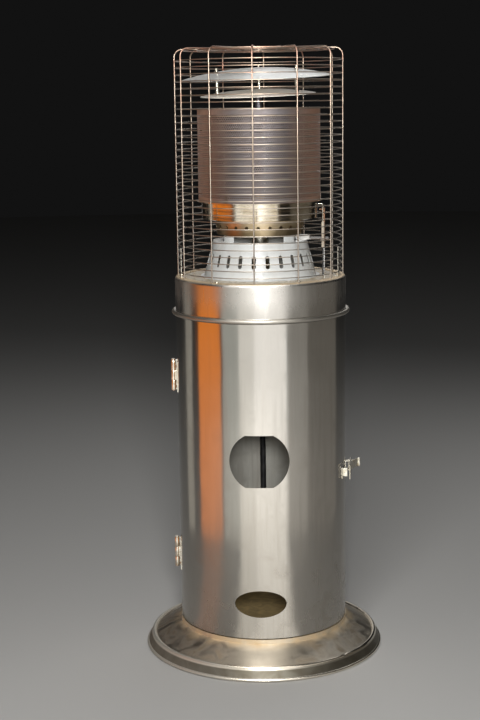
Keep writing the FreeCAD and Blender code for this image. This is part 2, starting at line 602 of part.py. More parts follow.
mixer_low = f"({plate_top} + mixer_start)"
mixer_top = f"({bowl_bottom} + mixer_in)"
nodes.append(turned("mixing_tube", [
    ("mixer_radius - mixer_wall", f"{mixer_low} + 14"), ("mixer_mouth - mixer_wall", mixer_low),
    ("mixer_mouth", mixer_low), ("mixer_radius", f"{mixer_low} + 14"),
    ("mixer_radius", f"{bowl_bottom} - mixer_wall"), ("mixer_mouth", f"{bowl_bottom} - mixer_wall"),
    ("mixer_mouth", bowl_bottom), ("mixer_radius", bowl_bottom),
    ("mixer_radius", mixer_top), ("mixer_radius - mixer_wall", mixer_top)]))
nodes.append(turned("injector", [
    ("0", f"{plate_bottom} - injector_hang"), ("injector_radius", f"{plate_bottom} - injector_hang"),
    ("injector_radius", plate_top), ("injector_flange", plate_top),
    ("injector_flange", f"{plate_top} + injector_rise / 2"),
    ("injector_radius - 2", f"{plate_top} + injector_rise / 2"),
    ("injector_radius - 2", f"{plate_top} + injector_rise"),
    ("injector_radius / 3", f"{plate_top} + injector_rise + 4"), ("0", f"{plate_top} + injector_rise + 4")]))
nodes.append(turned("injector_nut", [
    ("injector_radius + hole_clearance", f"{plate_bottom} - 7"), ("injector_flange", f"{plate_bottom} - 7"),
    ("injector_flange", plate_bottom), ("injector_radius + hole_clearance", plate_bottom)]))

# Emitter with its clips and cap

nodes.append(turned("emitter_screen", [
    ("emitter_radius - emitter_wall", bowl_top), ("emitter_radius", bowl_top),
    ("emitter_radius", cap_bottom), ("emitter_radius - emitter_wall", cap_bottom)]))
nodes.append(turned("emitter_cap", [
    ("0", cap_bottom), ("emitter_radius + 0.5", cap_bottom),
    ("emitter_radius + 0.5", cap_top), ("0", cap_top)]))
clips = []
for i, bearing in enumerate((90, 210, 330)):
    turn = FreeCAD.Rotation(UP, bearing - 90)
    shift = outward(bearing + 90) * number("clip_width / 2")
    at = polar("emitter_radius + 0.2", bearing, bowl_top)
    at = (f"{at[0]} - ({shift.x})", f"{at[1]} - ({shift.y})", at[2])
    clips.append(fused(f"emitter_clip_{i}", [
        box(f"clip_tab_{i}", ("clip_sheet", "clip_width", "clip_height"), at, turn),
        box(f"clip_foot_{i}", ("bowl_flange - emitter_radius - 0.4", "clip_width", "clip_sheet"), at, turn)]))
nodes.append(gathered("emitter_clips", clips))

# Reflector discs on their stem, leaning a little to the front and the left

lean = FreeCAD.Rotation(V(1, 0, 0), number("tilt_front")) * FreeCAD.Rotation(V(0, 1, 0), -number("tilt_left"))
lean_angle = lean.multVec(UP).getAngle(UP)


def leaning(piece):
    place(piece, ("0", "0", cap_top), lean)
    nodes.append(piece)


def dome(name, radius, rim, rise):
    """A shallow spherical disc; the expressions give its heights above the emitter cap."""
    sphere = f"(({radius}^2 + {rise}^2) / (2 * {rise}))"
    middle = f"({rim} + {rise} - {sphere})"

    def level(r, less="0"):
        return f"({middle} + sqrt(({sphere} - {less})^2 - ({r})^2))"

    sheet_in = f"({radius} - disc_sheet * {radius} / {sphere})"
    body = turned(name, [("0", f"{rim} + {rise}"), ("0", f"{rim} + {rise} - disc_sheet"),
                         (sheet_in, level(sheet_in, "disc_sheet")), (radius, rim)],
                  {1: ("0", middle, -1), 3: ("0", middle, 1)})
    return body, level


lower, lower_level = dome("lower_disc", "lower_radius", "lower_rim", "lower_rise")
upper, upper_level = dome("upper_disc", upper_radius, "upper_rim", "upper_rise")
post_foot = lower_level("post_circle - post_radius")
post_head = upper_level("post_circle + post_radius", "disc_sheet")
head_top = lower_level("post_circle + bolt_head", "disc_sheet")
nut_foot = upper_level("post_circle - bolt_head")
posts, bolts, nuts, bolt_holes = [], [], [], []
for i, bearing in enumerate((60, 180, 300)):
    where = polar("post_circle", bearing, "0")[:2]
    post = rod(f"post_{i}", "post_radius", f"{post_head} - {post_foot}", (*where, post_foot))
    bore = rod(f"bolt_hole_{i}", "bolt_radius + hole_clearance", "upper_rim", (*where, "lower_rim - 5"))
    shank = rod(f"bolt_shank_{i}", "bolt_radius", f"{nut_foot} + nut_height + bolt_tip - ({head_top})",
                (*where, head_top))
    head = rod(f"bolt_cap_{i}", "bolt_head", "3", (*where, f"{head_top} - 3"))
    nut = rod(f"nut_blank_{i}", "bolt_head", "nut_height", (*where, nut_foot))
    posts.append(cut(f"spacer_{i}", post, [bore]))
    bolts.append(fused(f"bolt_{i}", [shank, head]))
    nuts.append(cut(f"nut_{i}", nut, [bore]))
    bolt_holes.append(bore)
leaning(cut("lower_reflector", lower, bolt_holes))
leaning(cut("upper_reflector", upper, bolt_holes))
leaning(gathered("reflector_spacers", posts))
leaning(gathered("reflector_bolts", bolts))
leaning(gathered("reflector_nuts", nuts))
stem_low = f"stem_radius * {math.sin(lean_angle)} + 0.05"
stem_high = lower_level("stem_radius", "disc_sheet")
leaning(rod("reflector_stem", "stem_radius", f"{stem_high} - ({stem_low})", ("0", "0", "0")))
nodes[-1].Label = "reflector_stem"
nodes[-1].Placement = FreeCAD.Placement(V(), lean)
seat = lean.multVec(UP * number(stem_low))
place(nodes[-1], (str(seat.x), str(seat.y), f"{cap_top} + {seat.z}"), lean)

# Guard of bent uprights, stacked rings and brackets

top_level = number("guard_top - guard_wire")
foot_level = number("collar_top + 0.2")
guard_reach = number(guard_radius)
upright = [V(0, -guard_reach, foot_level), V(0, -guard_reach, top_level),
           V(0, -number("guard_eye"), top_level)]
bearings = [number("guard_turn") + i * 360 / number("guard_count") for i in range(int(number("guard_count")))]
nodes.append(bent_rod("guard_uprights", upright, [number("guard_bend")], number("guard_wire"), bearings)[0])
ring_radius = f"({guard_radius} - guard_wire - weld_gap - ring_wire)"


def ring(name, radius, height):
    torus = doc.addObject("Part::Torus", name)
    bind(torus, Radius1=radius, Radius2="ring_wire")
    return place(torus, ("0", "0", height))


rings = [ring(f"guard_ring_{i}", ring_radius, f"collar_top + ring_first + {i} * ring_pitch")
         for i in range(int(number("ring_count")))]
half_way = len(rings) // 2
nodes.append(gathered("guard_rings_lower", rings[:half_way]))
nodes.append(gathered("guard_rings_upper", rings[half_way:]))
top_ring_level = "guard_top - 2 * guard_wire - weld_gap - ring_wire"
top_step = f"(({guard_radius} - guard_bend - guard_eye - 4) / (top_ring_count - 1))"
top_rings = [ring(f"guard_top_ring_{i}", f"guard_eye + 3 + {i} * {top_step}", top_ring_level)
             for i in range(int(number("top_ring_count")))]
nodes.append(gathered("guard_top_rings", top_rings))
bracket_out = f"({ring_radius} - ring_wire - 0.15)"
brackets = []
for i, bearing in enumerate((-75, 75, 180)):
    turn = FreeCAD.Rotation(UP, bearing - 90)
    shift = outward(bearing + 90) * number("bracket_width / 2")

    def bracket_corner(radius):
        at = polar(radius, bearing, "collar_top")
        return f"{at[0]} - ({shift.x})", f"{at[1]} - ({shift.y})", at[2]

    brackets.append(fused(f"guard_bracket_{i}", [
        box(f"bracket_strip_{i}", ("bracket_sheet", "bracket_width", "bracket_height"),
            bracket_corner(f"{bracket_out} - bracket_sheet"), turn),
        box(f"bracket_foot_{i}", ("bracket_foot", "bracket_width", "bracket_sheet"),
            bracket_corner(f"{bracket_out} - bracket_foot"), turn)]))
nodes.append(gathered("guard_brackets", brackets))

# Pilot bracket with pilot burner, electrode and thermocouple

arm_low = skirt_end
arm_top = f"({skirt_end} + arm_sheet)"
arm = fused("pilot_arm", [
    box("arm_flat", ("pilot_x + 10 - 84", "probe_y - electrode_y + 18", "arm_sheet"),
        ("84", "electrode_y - 9", arm_low)),
    box("arm_flange", ("32", "arm_sheet", "12"), ("84", "electrode_y - 9", arm_low))])
arm_holes = [
    rod("arm_pilot_hole", "pilot_radius + hole_clearance", "40", ("pilot_x", "pilot_y", f"{arm_low} - 20")),
    rod("arm_electrode_hole", "electrode_radius + hole_clearance", "40",
        ("probe_x", "electrode_y", f"{arm_low} - 20")),
    rod("arm_probe_hole", "probe_radius + hole_clearance", "40", ("probe_x", "probe_y", f"{arm_low} - 20"))]
nodes.append(cut("pilot_bracket", arm, arm_holes))
pilot_low = f"({arm_low} - 12)"
pilot_high = f"({bowl_top} - 20)"
nodes.append(fused("pilot_burner", [
    rod("pilot_barrel", "pilot_radius", f"{pilot_high} - {pilot_low}", ("pilot_x", "pilot_y", pilot_low)),
    rod("pilot_shoulder", "pilot_radius + 2.5", "5", ("pilot_x", "pilot_y", f"{arm_low} - 5")),
    rod("pilot_hood", "pilot_radius - 1.2", "11", ("pilot_x", "pilot_y", f"{pilot_high} - 4"), V(-1, 0, 0))]))
nodes.append(fused("igniter_insulator", [
    rod("insulator_rod", "electrode_radius", "60", ("probe_x", "electrode_y", f"{arm_low} - 20")),
    rod("insulator_shoulder", "electrode_radius + 2", "5", ("probe_x", "electrode_y", f"{arm_low} - 5"))]))
spark_low = point("probe_x", "electrode_y", f"{arm_low} + 40")
spark = [spark_low, point("probe_x", "electrode_y", f"{bowl_top} - 10"),
         point("bowl_radius + 4", "electrode_y", f"{bowl_top} - 10")]
nodes.append(bent_rod("igniter_wire", spark, [3], number("electrode_wire"))[0])
nodes.append(fused("thermocouple", [
    rod("probe_rod", "probe_radius", f"{bowl_top} - 14 - ({arm_low} - 28)",
        ("probe_x", "probe_y", f"{arm_low} - 28")),
    rod("probe_shoulder", "probe_radius + 2.2", "6", ("probe_x", "probe_y", f"{arm_low} - 6"))]))

# Gas valve, feed, pilot pipe, leads, tilt switch

valve_front = f"({valve_back} - valve_depth)"
valve_low = f"({control_height} - valve_tall / 2)"
valve = fused("valve_body", [
    box("valve_block", ("valve_width", "valve_depth", "valve_tall"),
        ("-valve_width / 2", valve_front, valve_low)),
    rod("valve_neck", "spindle_radius + 5", "16", ("0", f"{valve_back} - 4", control_height), V(0, 1, 0))])
bore_start = f"({collar_out} - spindle_in - press_room)"
spindle_bore = rod("spindle_bore", "spindle_radius + run_clearance", bore_start,
                   ("0", bore_start, control_height), V(0, 1, 0))
nodes.append(cut("gas_valve", valve, [spindle_bore]))
nodes.append(fused("valve_bracket", [
    box("bracket_ceiling", ("30", "24", "2"), ("-15", f"{valve_front} - 24", f"{plate_bottom} - 2")),
    box("bracket_wall", ("30", "2", f"{plate_bottom} - {control_height} - feed_radius - 5"),
        ("-15", f"{valve_front} - 2", f"{control_height} + feed_radius + 5"))]))
feed = [point("0", valve_front, control_height), point("0", "0", control_height),
        point("0", "0", f"{plate_bottom} - injector_hang")]
nodes.append(bent_rod("feed_pipe", feed, [feed[2].z - feed[1].z - 5], number("feed_radius"))[0])
valve_side = "(valve_width / 2 + seat_gap)"
pilot_level = f"({control_height} + outlet_rise)"
pilot_from = f"({valve_front} + outlet_in)"
pilot_pipe = [point(valve_side, pilot_from, pilot_level),
              point(f"{valve_side} + outlet_stub", pilot_from, pilot_level),
              point("pilot_x", "pilot_y", pilot_level), point("pilot_x", "pilot_y", pilot_low)]
nodes.append(bent_rod("pilot_pipe", pilot_pipe, [12, 20], number("pilot_pipe"))[0])
igniter_end = point(*polar(f"{collar_out} - igniter_length", "igniter_bearing", control_height))
lead = [igniter_end, igniter_end - outward("igniter_bearing") * 24,
        point("probe_x", "electrode_y", control_height), point("probe_x", "electrode_y", f"{arm_low} - 20")]
nodes.append(bent_rod("igniter_lead", lead, [14, 20], number("lead_radius"))[0])
probe_level = f"({control_height} - outlet_rise)"
probe_from = f"({valve_back} - outlet_in)"
probe_lead = [point(valve_side, probe_from, probe_level),
              point(f"{valve_side} + outlet_stub", probe_from, probe_level),
              point("probe_x", "probe_y", probe_level), point("probe_x", "probe_y", f"{arm_low} - 28")]
nodes.append(bent_rod("thermocouple_lead", probe_lead, [12, 20], number("lead_radius - 0.5"))[0])
nodes.append(box("tilt_switch", ("36", "24", "28"), ("-100", "70", f"{plate_bottom} - 28")))
nodes[-1].Label = "tilt_switch"

# Spindle, knob and push igniter, turned about an axis that points out of the collar


def on_collar(piece, bearing):
    rotation = FreeCAD.Rotation(UP, outward(bearing))
    return place(piece, polar(collar_out, bearing, control_height), rotation)


nodes.append(on_collar(turned("valve_spindle", [
    ("0", "-spindle_in"), ("spindle_radius", "-spindle_in"), ("spindle_radius", "spindle_out"),
    ("0", "spindle_out")]), "180"))
knob_top = "(knob_gap + knob_depth)"
knob_turned = turned("knob_turned", [
    ("spindle_radius + run_clearance", "knob_gap"), ("knob_radius", "knob_gap"),
    ("knob_radius", "knob_gap + 7"), ("knob_radius - 4", "knob_gap + 9"),
    ("knob_radius - 6", f"{knob_top} - 3"), ("knob_radius - 9", knob_top), ("0", knob_top),
    ("0", "spindle_out + 1"), ("spindle_radius + run_clearance", "spindle_out + 1")],
    {4: ("knob_radius - 9", f"{knob_top} - 3", 1)})
knob_rib = box("knob_rib", ("5", "knob_radius - spindle_radius - 2", "knob_depth - 8"),
               ("-2.5", "-knob_radius", "knob_gap + 9"))
nodes.append(on_collar(fused("control_knob", [knob_turned, knob_rib]), "180"))
button_bore = "(button_radius + run_clearance)"
nodes.append(on_collar(turned("push_igniter", [
    ("0", "-igniter_length"), ("igniter_radius", "-igniter_length"), ("igniter_radius", "0"),
    ("bezel_radius", "0"), ("bezel_radius", "bezel_rise"), (button_bore, "bezel_rise"),
    (button_bore, "-button_in - press_room - 3"), ("0", "-button_in - press_room - 3")]), "igniter_bearing"))
nodes.append(on_collar(turned("igniter_button", [
    ("0", "-button_in"), ("button_radius", "-button_in"), ("button_radius", "button_out - 1"),
    ("button_radius - 1", "button_out"), ("0", "button_out")]), "igniter_bearing"))

# Hose nipple, hose with ferrules, regulator and hand wheel

hose_top = f"({valve_low} - nipple_drop)"
nodes.append(fused("hose_nipple", [
    rod("nipple_nut", "hose_radius + 3", "nipple_drop / 2", ("0", hose_y, f"{valve_low} - nipple_drop / 2")),
    rod("nipple_stub", "hose_radius - 1", "nipple_drop", ("0", hose_y, hose_top))]))
tail_top = "(regulator_height + regulator_radius + tail_length)"
top_z, end_z = number(hose_top), number(tail_top)
drop = top_z - end_z
hose_points = [point("0", hose_y, hose_top), V(0, number(hose_y), top_z - 0.17 * drop),
               V(-6, number(hose_y) + 4, top_z - 0.45 * drop),
               V(number("regulator_x"), number(regulator_y), top_z - 0.74 * drop),
               point("regulator_x", regulator_y, tail_top)]
bends = []
for i in range(1, len(hose_points) - 1):
    back, ahead = hose_points[i - 1] - hose_points[i], hose_points[i + 1] - hose_points[i]
    half_turn = (math.pi - back.getAngle(ahead)) / 2
    bends.append(0.45 * min(back.Length, ahead.Length) / math.tan(half_turn))
hose, hose_volume, hose_length = bent_rod("gas_hose", hose_points, bends, number("hose_radius"))
nodes.append(hose)
print("hose bend radii", [round(b) for b in bends], "length", round(hose_length, 1))
print("hose volume", round(hose_volume), "section by length",
      round(math.pi * number("hose_radius") ** 2 * hose_length))
ferrules = []
for tag, x, y, low in (("top", "0", hose_y, f"{hose_top} - ferrule_length"),
                       ("end", "regulator_x", regulator_y, tail_top)):
    shell = rod(f"ferrule_shell_{tag}", "hose_radius + ferrule_wall + 0.1", "ferrule_length", (x, y, low))
    bore = rod(f"ferrule_bore_{tag}", "hose_radius + 0.1", "ferrule_length + 2", (x, y, f"{low} - 1"))
    ferrules.append(cut(f"ferrule_{tag}", shell, [bore]))
nodes.append(gathered("hose_ferrules", ferrules))
reg_at = ("regulator_x", regulator_y, "regulator_height")
rearward = V(0, 1, 0)
reg_low = "(regulator_height - regulator_radius)"
wheel_top = f"({reg_low} - 4)"
thread_top = f"({wheel_top} - wheel_depth)"
thread_end = f"({thread_top} - thread_length)"
nodes.append(fused("regulator", [
    rod("regulator_disc", "regulator_radius", "regulator_depth",
        ("regulator_x", f"{regulator_y} - regulator_depth / 2", "regulator_height"), rearward),
    rod("regulator_tail", "hose_radius - 1", "regulator_radius + tail_length", reg_at),
    rod("regulator_inlet", "inlet_radius", f"regulator_height - ({thread_end} - 1)",
        ("regulator_x", regulator_y, f"{thread_end} - 1")),
    rod("regulator_nose", "inlet_radius + 2", "9", ("regulator_x", regulator_y, f"{thread_end} - 9.4"))]))
nodes.append(rod("regulator_bonnet", "regulator_radius - 6", "10",
                 ("regulator_x", f"{regulator_y} - regulator_depth / 2 - 10", "regulator_height"), rearward))
nodes[-1].Label = "regulator_bonnet"
wheel_bore = "(inlet_radius + run_clearance)"
wheel_local = [(wheel_bore, "0"), ("thread_radius", "0"), ("thread_radius", "thread_length"),
               ("wheel_radius", "thread_length"), ("wheel_radius", "thread_length + wheel_depth"),
               (wheel_bore, "thread_length + wheel_depth")]
wheel = turned("hand_wheel_turned", wheel_local)
flutes = [rod(f"wheel_flute_{i}", "4", "wheel_depth + 2",
              (*polar("wheel_radius + 2", 60 * i, "0")[:2], "thread_length - 1")) for i in range(6)]
hand_wheel = cut("hand_wheel", wheel, flutes)
place(hand_wheel, ("regulator_x", regulator_y, thread_end))
nodes.append(hand_wheel)

# Check every piece and write it

doc.recompute()
for thing in doc.Objects:
    if "Invalid" in thing.State or "Error" in thing.State:
        raise RuntimeError(f"{thing.Label} did not build: {thing.State}")
for node in nodes:
    shape = node.Shape
    if shape.isNull() or not shape.isValid() or not shape.Solids:
        raise RuntimeError(f"{node.Label} is not a valid solid")
    shape.exportStep(f"parts/{node.Label}.step")
    print(node.Label, len(shape.Solids), "solids", round(shape.Volume), "mm3")
print(len(nodes), "nodes")
print("hinge axis", number(hinge_x), 0)
print("latch pivot", pivot_point, "bail pivot", bail_rest, "bar", bar_rest)
print("bail ratio", -(number("latch_open") + number("bail_lift")) / number("latch_open"))
print("thread end", number(thread_end), "hose points", hose_points)
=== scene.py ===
# %% [markdown]
# A cabinet patio heater, dressed for its picture.
# The heater is a steel can on a flared foot. A door in the can lets a gas bottle in, and on top of it a
# burner, a perforated emitter and two white discs stand inside a wire guard. The solids come from the packed
# model, which is loaded here as a fixed frame. This lesson keeps the solids that already have the right
# shape, gives each one a finish made of nodes, and models the pieces that need more detail than a solid has.

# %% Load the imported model
import json
import math

import bmesh
import bpy
from mathutils import Matrix, Vector


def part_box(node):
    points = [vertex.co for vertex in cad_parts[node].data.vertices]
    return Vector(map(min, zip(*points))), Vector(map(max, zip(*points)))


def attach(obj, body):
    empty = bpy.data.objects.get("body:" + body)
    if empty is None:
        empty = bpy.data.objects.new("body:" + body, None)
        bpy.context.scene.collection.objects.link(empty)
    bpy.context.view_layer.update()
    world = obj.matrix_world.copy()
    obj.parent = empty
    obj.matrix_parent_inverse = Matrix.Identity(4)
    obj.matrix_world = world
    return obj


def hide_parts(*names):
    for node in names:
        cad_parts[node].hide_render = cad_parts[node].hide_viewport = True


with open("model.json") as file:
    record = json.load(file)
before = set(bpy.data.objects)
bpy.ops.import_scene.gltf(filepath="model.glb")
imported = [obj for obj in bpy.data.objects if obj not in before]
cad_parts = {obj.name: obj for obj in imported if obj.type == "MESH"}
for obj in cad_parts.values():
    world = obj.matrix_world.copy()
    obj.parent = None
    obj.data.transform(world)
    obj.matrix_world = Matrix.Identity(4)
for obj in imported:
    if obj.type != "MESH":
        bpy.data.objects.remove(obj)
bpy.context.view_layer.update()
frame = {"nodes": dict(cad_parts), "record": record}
solids = frame["nodes"]

# %% [markdown]
# The camera stands at eye height in front of the heater, a little to its right, and looks slightly down. A
# long lens keeps the can's sides parallel. The picture is turned by under a degree, as a camera in the hand
# is, so the turn is put in as a roll about the line of sight.

# %% Camera
EYE = Vector((0.1153, -3.385, 1.293))
LENS_MM, SENSOR_MM = 72.5, 36
YAW, PITCH, ROLL = math.radians(2.8), math.radians(79.94), math.radians(0.75)


def deselect():
    bpy.ops.object.select_all(action="DESELECT")


deselect()
bpy.ops.object.camera_add(location=EYE)
camera = bpy.context.object
camera.name = "camera"
aim = Matrix.Rotation(YAW, 4, "Z") @ Matrix.Rotation(PITCH, 4, "X") @ Matrix.Rotation(-ROLL, 4, "Z")
camera.rotation_euler = aim.to_euler()
camera.data.lens = LENS_MM
camera.data.sensor_width = SENSOR_MM
bpy.context.scene.camera = camera
print("camera looks along", tuple(round(c, 3) for c in aim @ Vector((0, 0, -1))))

# %% [markdown]
# The gas hose hangs down the back of the bottle room, from the nipple under the burner plate to the
# regulator. It shows as a dark line through the hand hole. A hose is one smooth curve, so it is a NURBS
# spline with the route's points as its control points and a round bevel. The order is set after the points
# are there, because an order that is set on a shorter spline falls back to straight runs. Each knot carries
# the hose's radius and the bevel scales it by one, because Blender adds a knot's radius to the curve's box.

# %% Gas hose
HOSE_ROUTE = [
    (0, 0.165, 0.816), (0, 0.165, 0.72981), (-0.006, 0.169, 0.58785),
    (-0.003, 0.167, 0.44082), (-0.003, 0.167, 0.309),
]
HOSE_RADIUS = 0.007

hose_line = bpy.data.curves.new("gas_hose_line", "CURVE")
hose_line.dimensions = "3D"
spline = hose_line.splines.new("NURBS")
spline.points.add(len(HOSE_ROUTE) - 1)
for knot, place in zip(spline.points, HOSE_ROUTE):
    knot.co = (*place, 1)
    knot.radius = HOSE_RADIUS
spline.order_u = 3
spline.use_endpoint_u = True
hose_line.bevel_depth = 1.0
hose_line.bevel_resolution = 6
hose_line.resolution_u = 24
hose_line.use_fill_caps = True
rubber_hose = bpy.data.objects.new("rubber_hose", hose_line)
bpy.context.collection.objects.link(rubber_hose)
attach(rubber_hose, "housing")
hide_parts("gas_hose")
print("hose knots:", len(spline.points))

# %% [markdown]
# Polished steel mirrors the room, so the light is built as panels round the heater. A wide bright panel in
# front makes the broad pale stripe down the can. A dimmer one left of it, a warm one further left and a thin
# pale one make the narrower stripes, and the gaps between them stay dark. The panels face the axis and are
# seen in reflections only. Those with upper in their name serve the collar, the bowl and the emitter. Strips
# on the floor carry the stripes on to the foot of the can, and a strip overhead lights the slope of the foot.

# %% Light for reflections
PANEL_DISTANCE = 1.15
# bearing from, bearing to, foot, head, radiance, colour; a bearing is in degrees from the front to the right
PANELS = {
    "front_bright": (-7, 34, 0, 0.85, 1.12, (1, 0.975, 0.93)),
    "front_mid": (-26, -7, 0, 0.85, 0.86, (1, 0.97, 0.9)),
    "front_soft": (-47, -26, 0, 0.85, 0.4, (0.98, 1, 0.92)),
    "front_upper": (-45, 36, 0.86, 2.5, 1.15, (1, 0.98, 0.94)),
    "left_warm": (-85, -50, 0, 0.86, 0.86, (1, 0.27, 0.02)),
    "left_warm_upper": (-100, -52, 0.955, 1.04, 1.05, (1, 0.27, 0.02)),
    "left_thin": (-113, -98, 0, 1.7, 0.3, (1, 0.94, 0.82)),
    "right_near": (35, 62, 0, 0.85, 0.25, (1, 0.95, 0.86)),
    "right_far": (62, 116, 0, 1.2, 0.1, (1, 0.9, 0.76)),
    "back_wide": (166, 198, 0, 1.7, 0.5, (1, 0.98, 0.95)),
}
# bearing from, bearing to, near end, far end, level, radiance, colour
FLAT_STRIPS = {
    "floor_bright": (-7, 34, 0.3, 1.15, 0.002, 1.0, (1, 0.975, 0.93)),
    "floor_mid": (-26, -7, 0.3, 1.15, 0.002, 0.7, (1, 0.97, 0.9)),
    "floor_warm": (-80, -52, 0.3, 1.0, 0.002, 0.14, (1, 0.3, 0.05)),
    "roof_bright": (-52, 48, 0.3, 1.3, 2.6, 3.4, (1, 0.975, 0.93)),
}
STRIP_PARTS = 4
FACES_DOWN_FROM = 1.0


def area_light(name, spot, turn, size, watts):
    bpy.ops.object.light_add(type="AREA", location=spot, rotation=turn)
    lamp = bpy.context.object
    lamp.name = name
    lamp.data.size = size
    lamp.data.energy = watts
    lamp.visible_camera = False
    return lamp


def glow(name, spot, turn, width, tall, radiance, colour):
    """A rectangular light of this radiance that only reflections show."""
    panel = area_light(name, spot, turn, width, radiance * math.pi * width * tall)
    panel.data.shape = "RECTANGLE"
    panel.data.size_y = tall
    panel.data.color = colour
    panel.visible_diffuse = False


def spread_at(distance, first, last):
    """The width that covers a range of bearings at this distance from the axis."""
    return 2 * distance * math.tan(math.radians((last - first) / 2))


def panel_light(name, first, last, foot, head, radiance, colour):
    """An upright panel that covers a range of bearings and faces the axis."""
    turn = math.radians((first + last) / 2)
    width = spread_at(PANEL_DISTANCE, first, last)
    spot = (PANEL_DISTANCE * math.sin(turn), -PANEL_DISTANCE * math.cos(turn), (foot + head) / 2)
    glow(name, spot, (math.pi / 2, 0, turn), width, head - foot, radiance, colour)


def flat_strip(name, first, last, near, far, level, radiance, colour):
    """A row of level panels that widens away from the heater, facing up on the floor and down overhead."""
    turn = math.radians((first + last) / 2)
    long = (far - near) / STRIP_PARTS
    flip = math.pi if level < FACES_DOWN_FROM else 0
    for part in range(STRIP_PARTS):
        middle = near + (part + 0.5) * long
        spot = (middle * math.sin(turn), -middle * math.cos(turn), level)
        width = spread_at(middle, first, last)
        glow(f"{name}_{part}", spot, (flip, 0, turn), width, long, radiance, colour)


deselect()
for name, values in PANELS.items():
    panel_light(name, *values)
for name, values in FLAT_STRIPS.items():
    flat_strip(name, *values)
print("panels:", len(PANELS), "flat strips:", len(FLAT_STRIPS))

# %% [markdown]
# What doesn't mirror needs plain light. The white enamel and the inside of the can are lit by a softbox close
# to the camera, like a flash, and the floor by two softboxes overhead. A small one with a narrow beam lifts
# the discs. The floor is a pale matt disc and the room behind it is nearly black.

# %% Softboxes, floor and room
# place, point it looks at, size, watts, beam in degrees
SOFTBOXES = {
    "camera_key": ((0.2, -3.3, 1.5), (0, 0, 0.9), 0.4, 55, 180),
    "front_high": ((-0.2, -2.4, 2.25), (0, 0, 1.0), 1.0, 42, 180),
    "back_high": ((0.5, 1.9, 2.7), (0, 0, 0.9), 1.5, 14, 180),
    "disc_fill": ((0.05, -1.2, 1.47), (0, 0, 1.36), 0.3, 0.2, 18),
}
FLOOR_RADIUS, FLOOR_DROP, FLOOR_ROUGHNESS = 14.0, 0.0005, 0.8
FLOOR_COLOUR, ROOM_COLOUR = (0.54, 0.53, 0.51, 1), (0.006, 0.006, 0.006, 1)


def softbox(name, spot, target, size, watts, beam):
    turn = (Vector(target) - Vector(spot)).to_track_quat("-Z", "Y").to_euler()
    lamp = area_light(name, spot, turn, size, watts)
    lamp.data.spread = math.radians(beam)


def shader_of(finish):
    """The node that a material's colour, roughness and relief are fed into."""
    return finish.node_tree.nodes["Principled BSDF"]


for name, values in SOFTBOXES.items():
    softbox(name, *values)
bpy.ops.mesh.primitive_circle_add(
    vertices=96, radius=FLOOR_RADIUS, fill_type="NGON", location=(0, 0, -FLOOR_DROP))
floor = bpy.context.object
floor.name = "floor"
floor_paint = bpy.data.materials.new("pale_floor")
floor_paint.use_nodes = True
paint = shader_of(floor_paint).inputs
paint["Base Color"].default_value = FLOOR_COLOUR
paint["Roughness"].default_value = FLOOR_ROUGHNESS
paint["Specular IOR Level"].default_value = 0.0
floor.data.materials.append(floor_paint)

room = bpy.data.worlds.new("room")
bpy.context.scene.world = room
room.use_nodes = True
room.node_tree.nodes["Background"].inputs["Color"].default_value = ROOM_COLOUR
bpy.context.scene.view_settings.view_transform = "Standard"
print("softboxes:", len(SOFTBOXES))

# %% [markdown]
# A finish is a small graph of nodes. These helpers add a node, set or link its sockets, and make what every
# finish here is made of: a place on the object, a patchy mask, a mask by height or by distance from the axis,
# sums of masks, a mix of two colours and a relief. Places are in object coordinates, which are metres in the
# heater's own frame. A socket knows its graph, so only what starts a chain of nodes is told the finish.

# %% Helpers for finishes
def new_finish(name, metallic, roughness):
    finish = bpy.data.materials.new(name)
    finish.use_nodes = True
    shader_of(finish).inputs["Metallic"].default_value = metallic
    shader_of(finish).inputs["Roughness"].default_value = roughness
    return finish


def add(graph, kind, sockets, **settings):
    """A new node, with its settings made and its sockets set or linked."""
    node = graph.nodes.new("ShaderNode" + kind)
    for name, value in settings.items():
        setattr(node, name, value)
    for key, value in sockets.items():
        if isinstance(value, bpy.types.NodeSocket):
            graph.links.new(value, node.inputs[key])
        else:
            node.inputs[key].default_value = value
    return node


def feed(finish, socket, source):
    finish.node_tree.links.new(source, shader_of(finish).inputs[socket])


def fed_by(finish, socket):
    return shader_of(finish).inputs[socket].links[0].from_socket


def spot_on(finish, stretch=(1, 1, 1)):
    place = add(finish.node_tree, "TexCoord", {}).outputs["Object"]
    return add(place.id_data, "Mapping", {"Vector": place, "Scale": stretch}).outputs["Vector"]


def ramp(value, low, high, to_low=0.0, to_high=1.0):
    """The value from low to high, spread from to_low to to_high and held there beyond."""
    sockets = {"Value": value, "From Min": low, "From Max": high, "To Min": to_low, "To Max": to_high}
    return add(value.id_data, "MapRange", sockets).outputs["Result"]


def spread(mask, at_none, at_full):
    """One value where the mask is 0, another where it is 1."""
    return ramp(mask, 0, 1, at_none, at_full)


def patches(finish, size, low, high, stretch=(1, 1, 1), detail=5.0, twist=0.0):
    """A cloudy mask with patches of about this size in metres."""
    place = spot_on(finish, stretch)
    sockets = {"Vector": place, "Scale": 1 / size, "Detail": detail, "Distortion": twist}
    return ramp(add(place.id_data, "TexNoise", sockets).outputs["Fac"], low, high)


def along(finish, axis):
    return add(finish.node_tree, "SeparateXYZ", {"Vector": spot_on(finish)}).outputs[axis]


def height(finish):
    return along(finish, "Z")


def reach(finish):
    """Distance from the heater's axis."""
    flat = spot_on(finish, (1, 1, 0))
    return add(flat.id_data, "VectorMath", {0: flat}, operation="LENGTH").outputs["Value"]


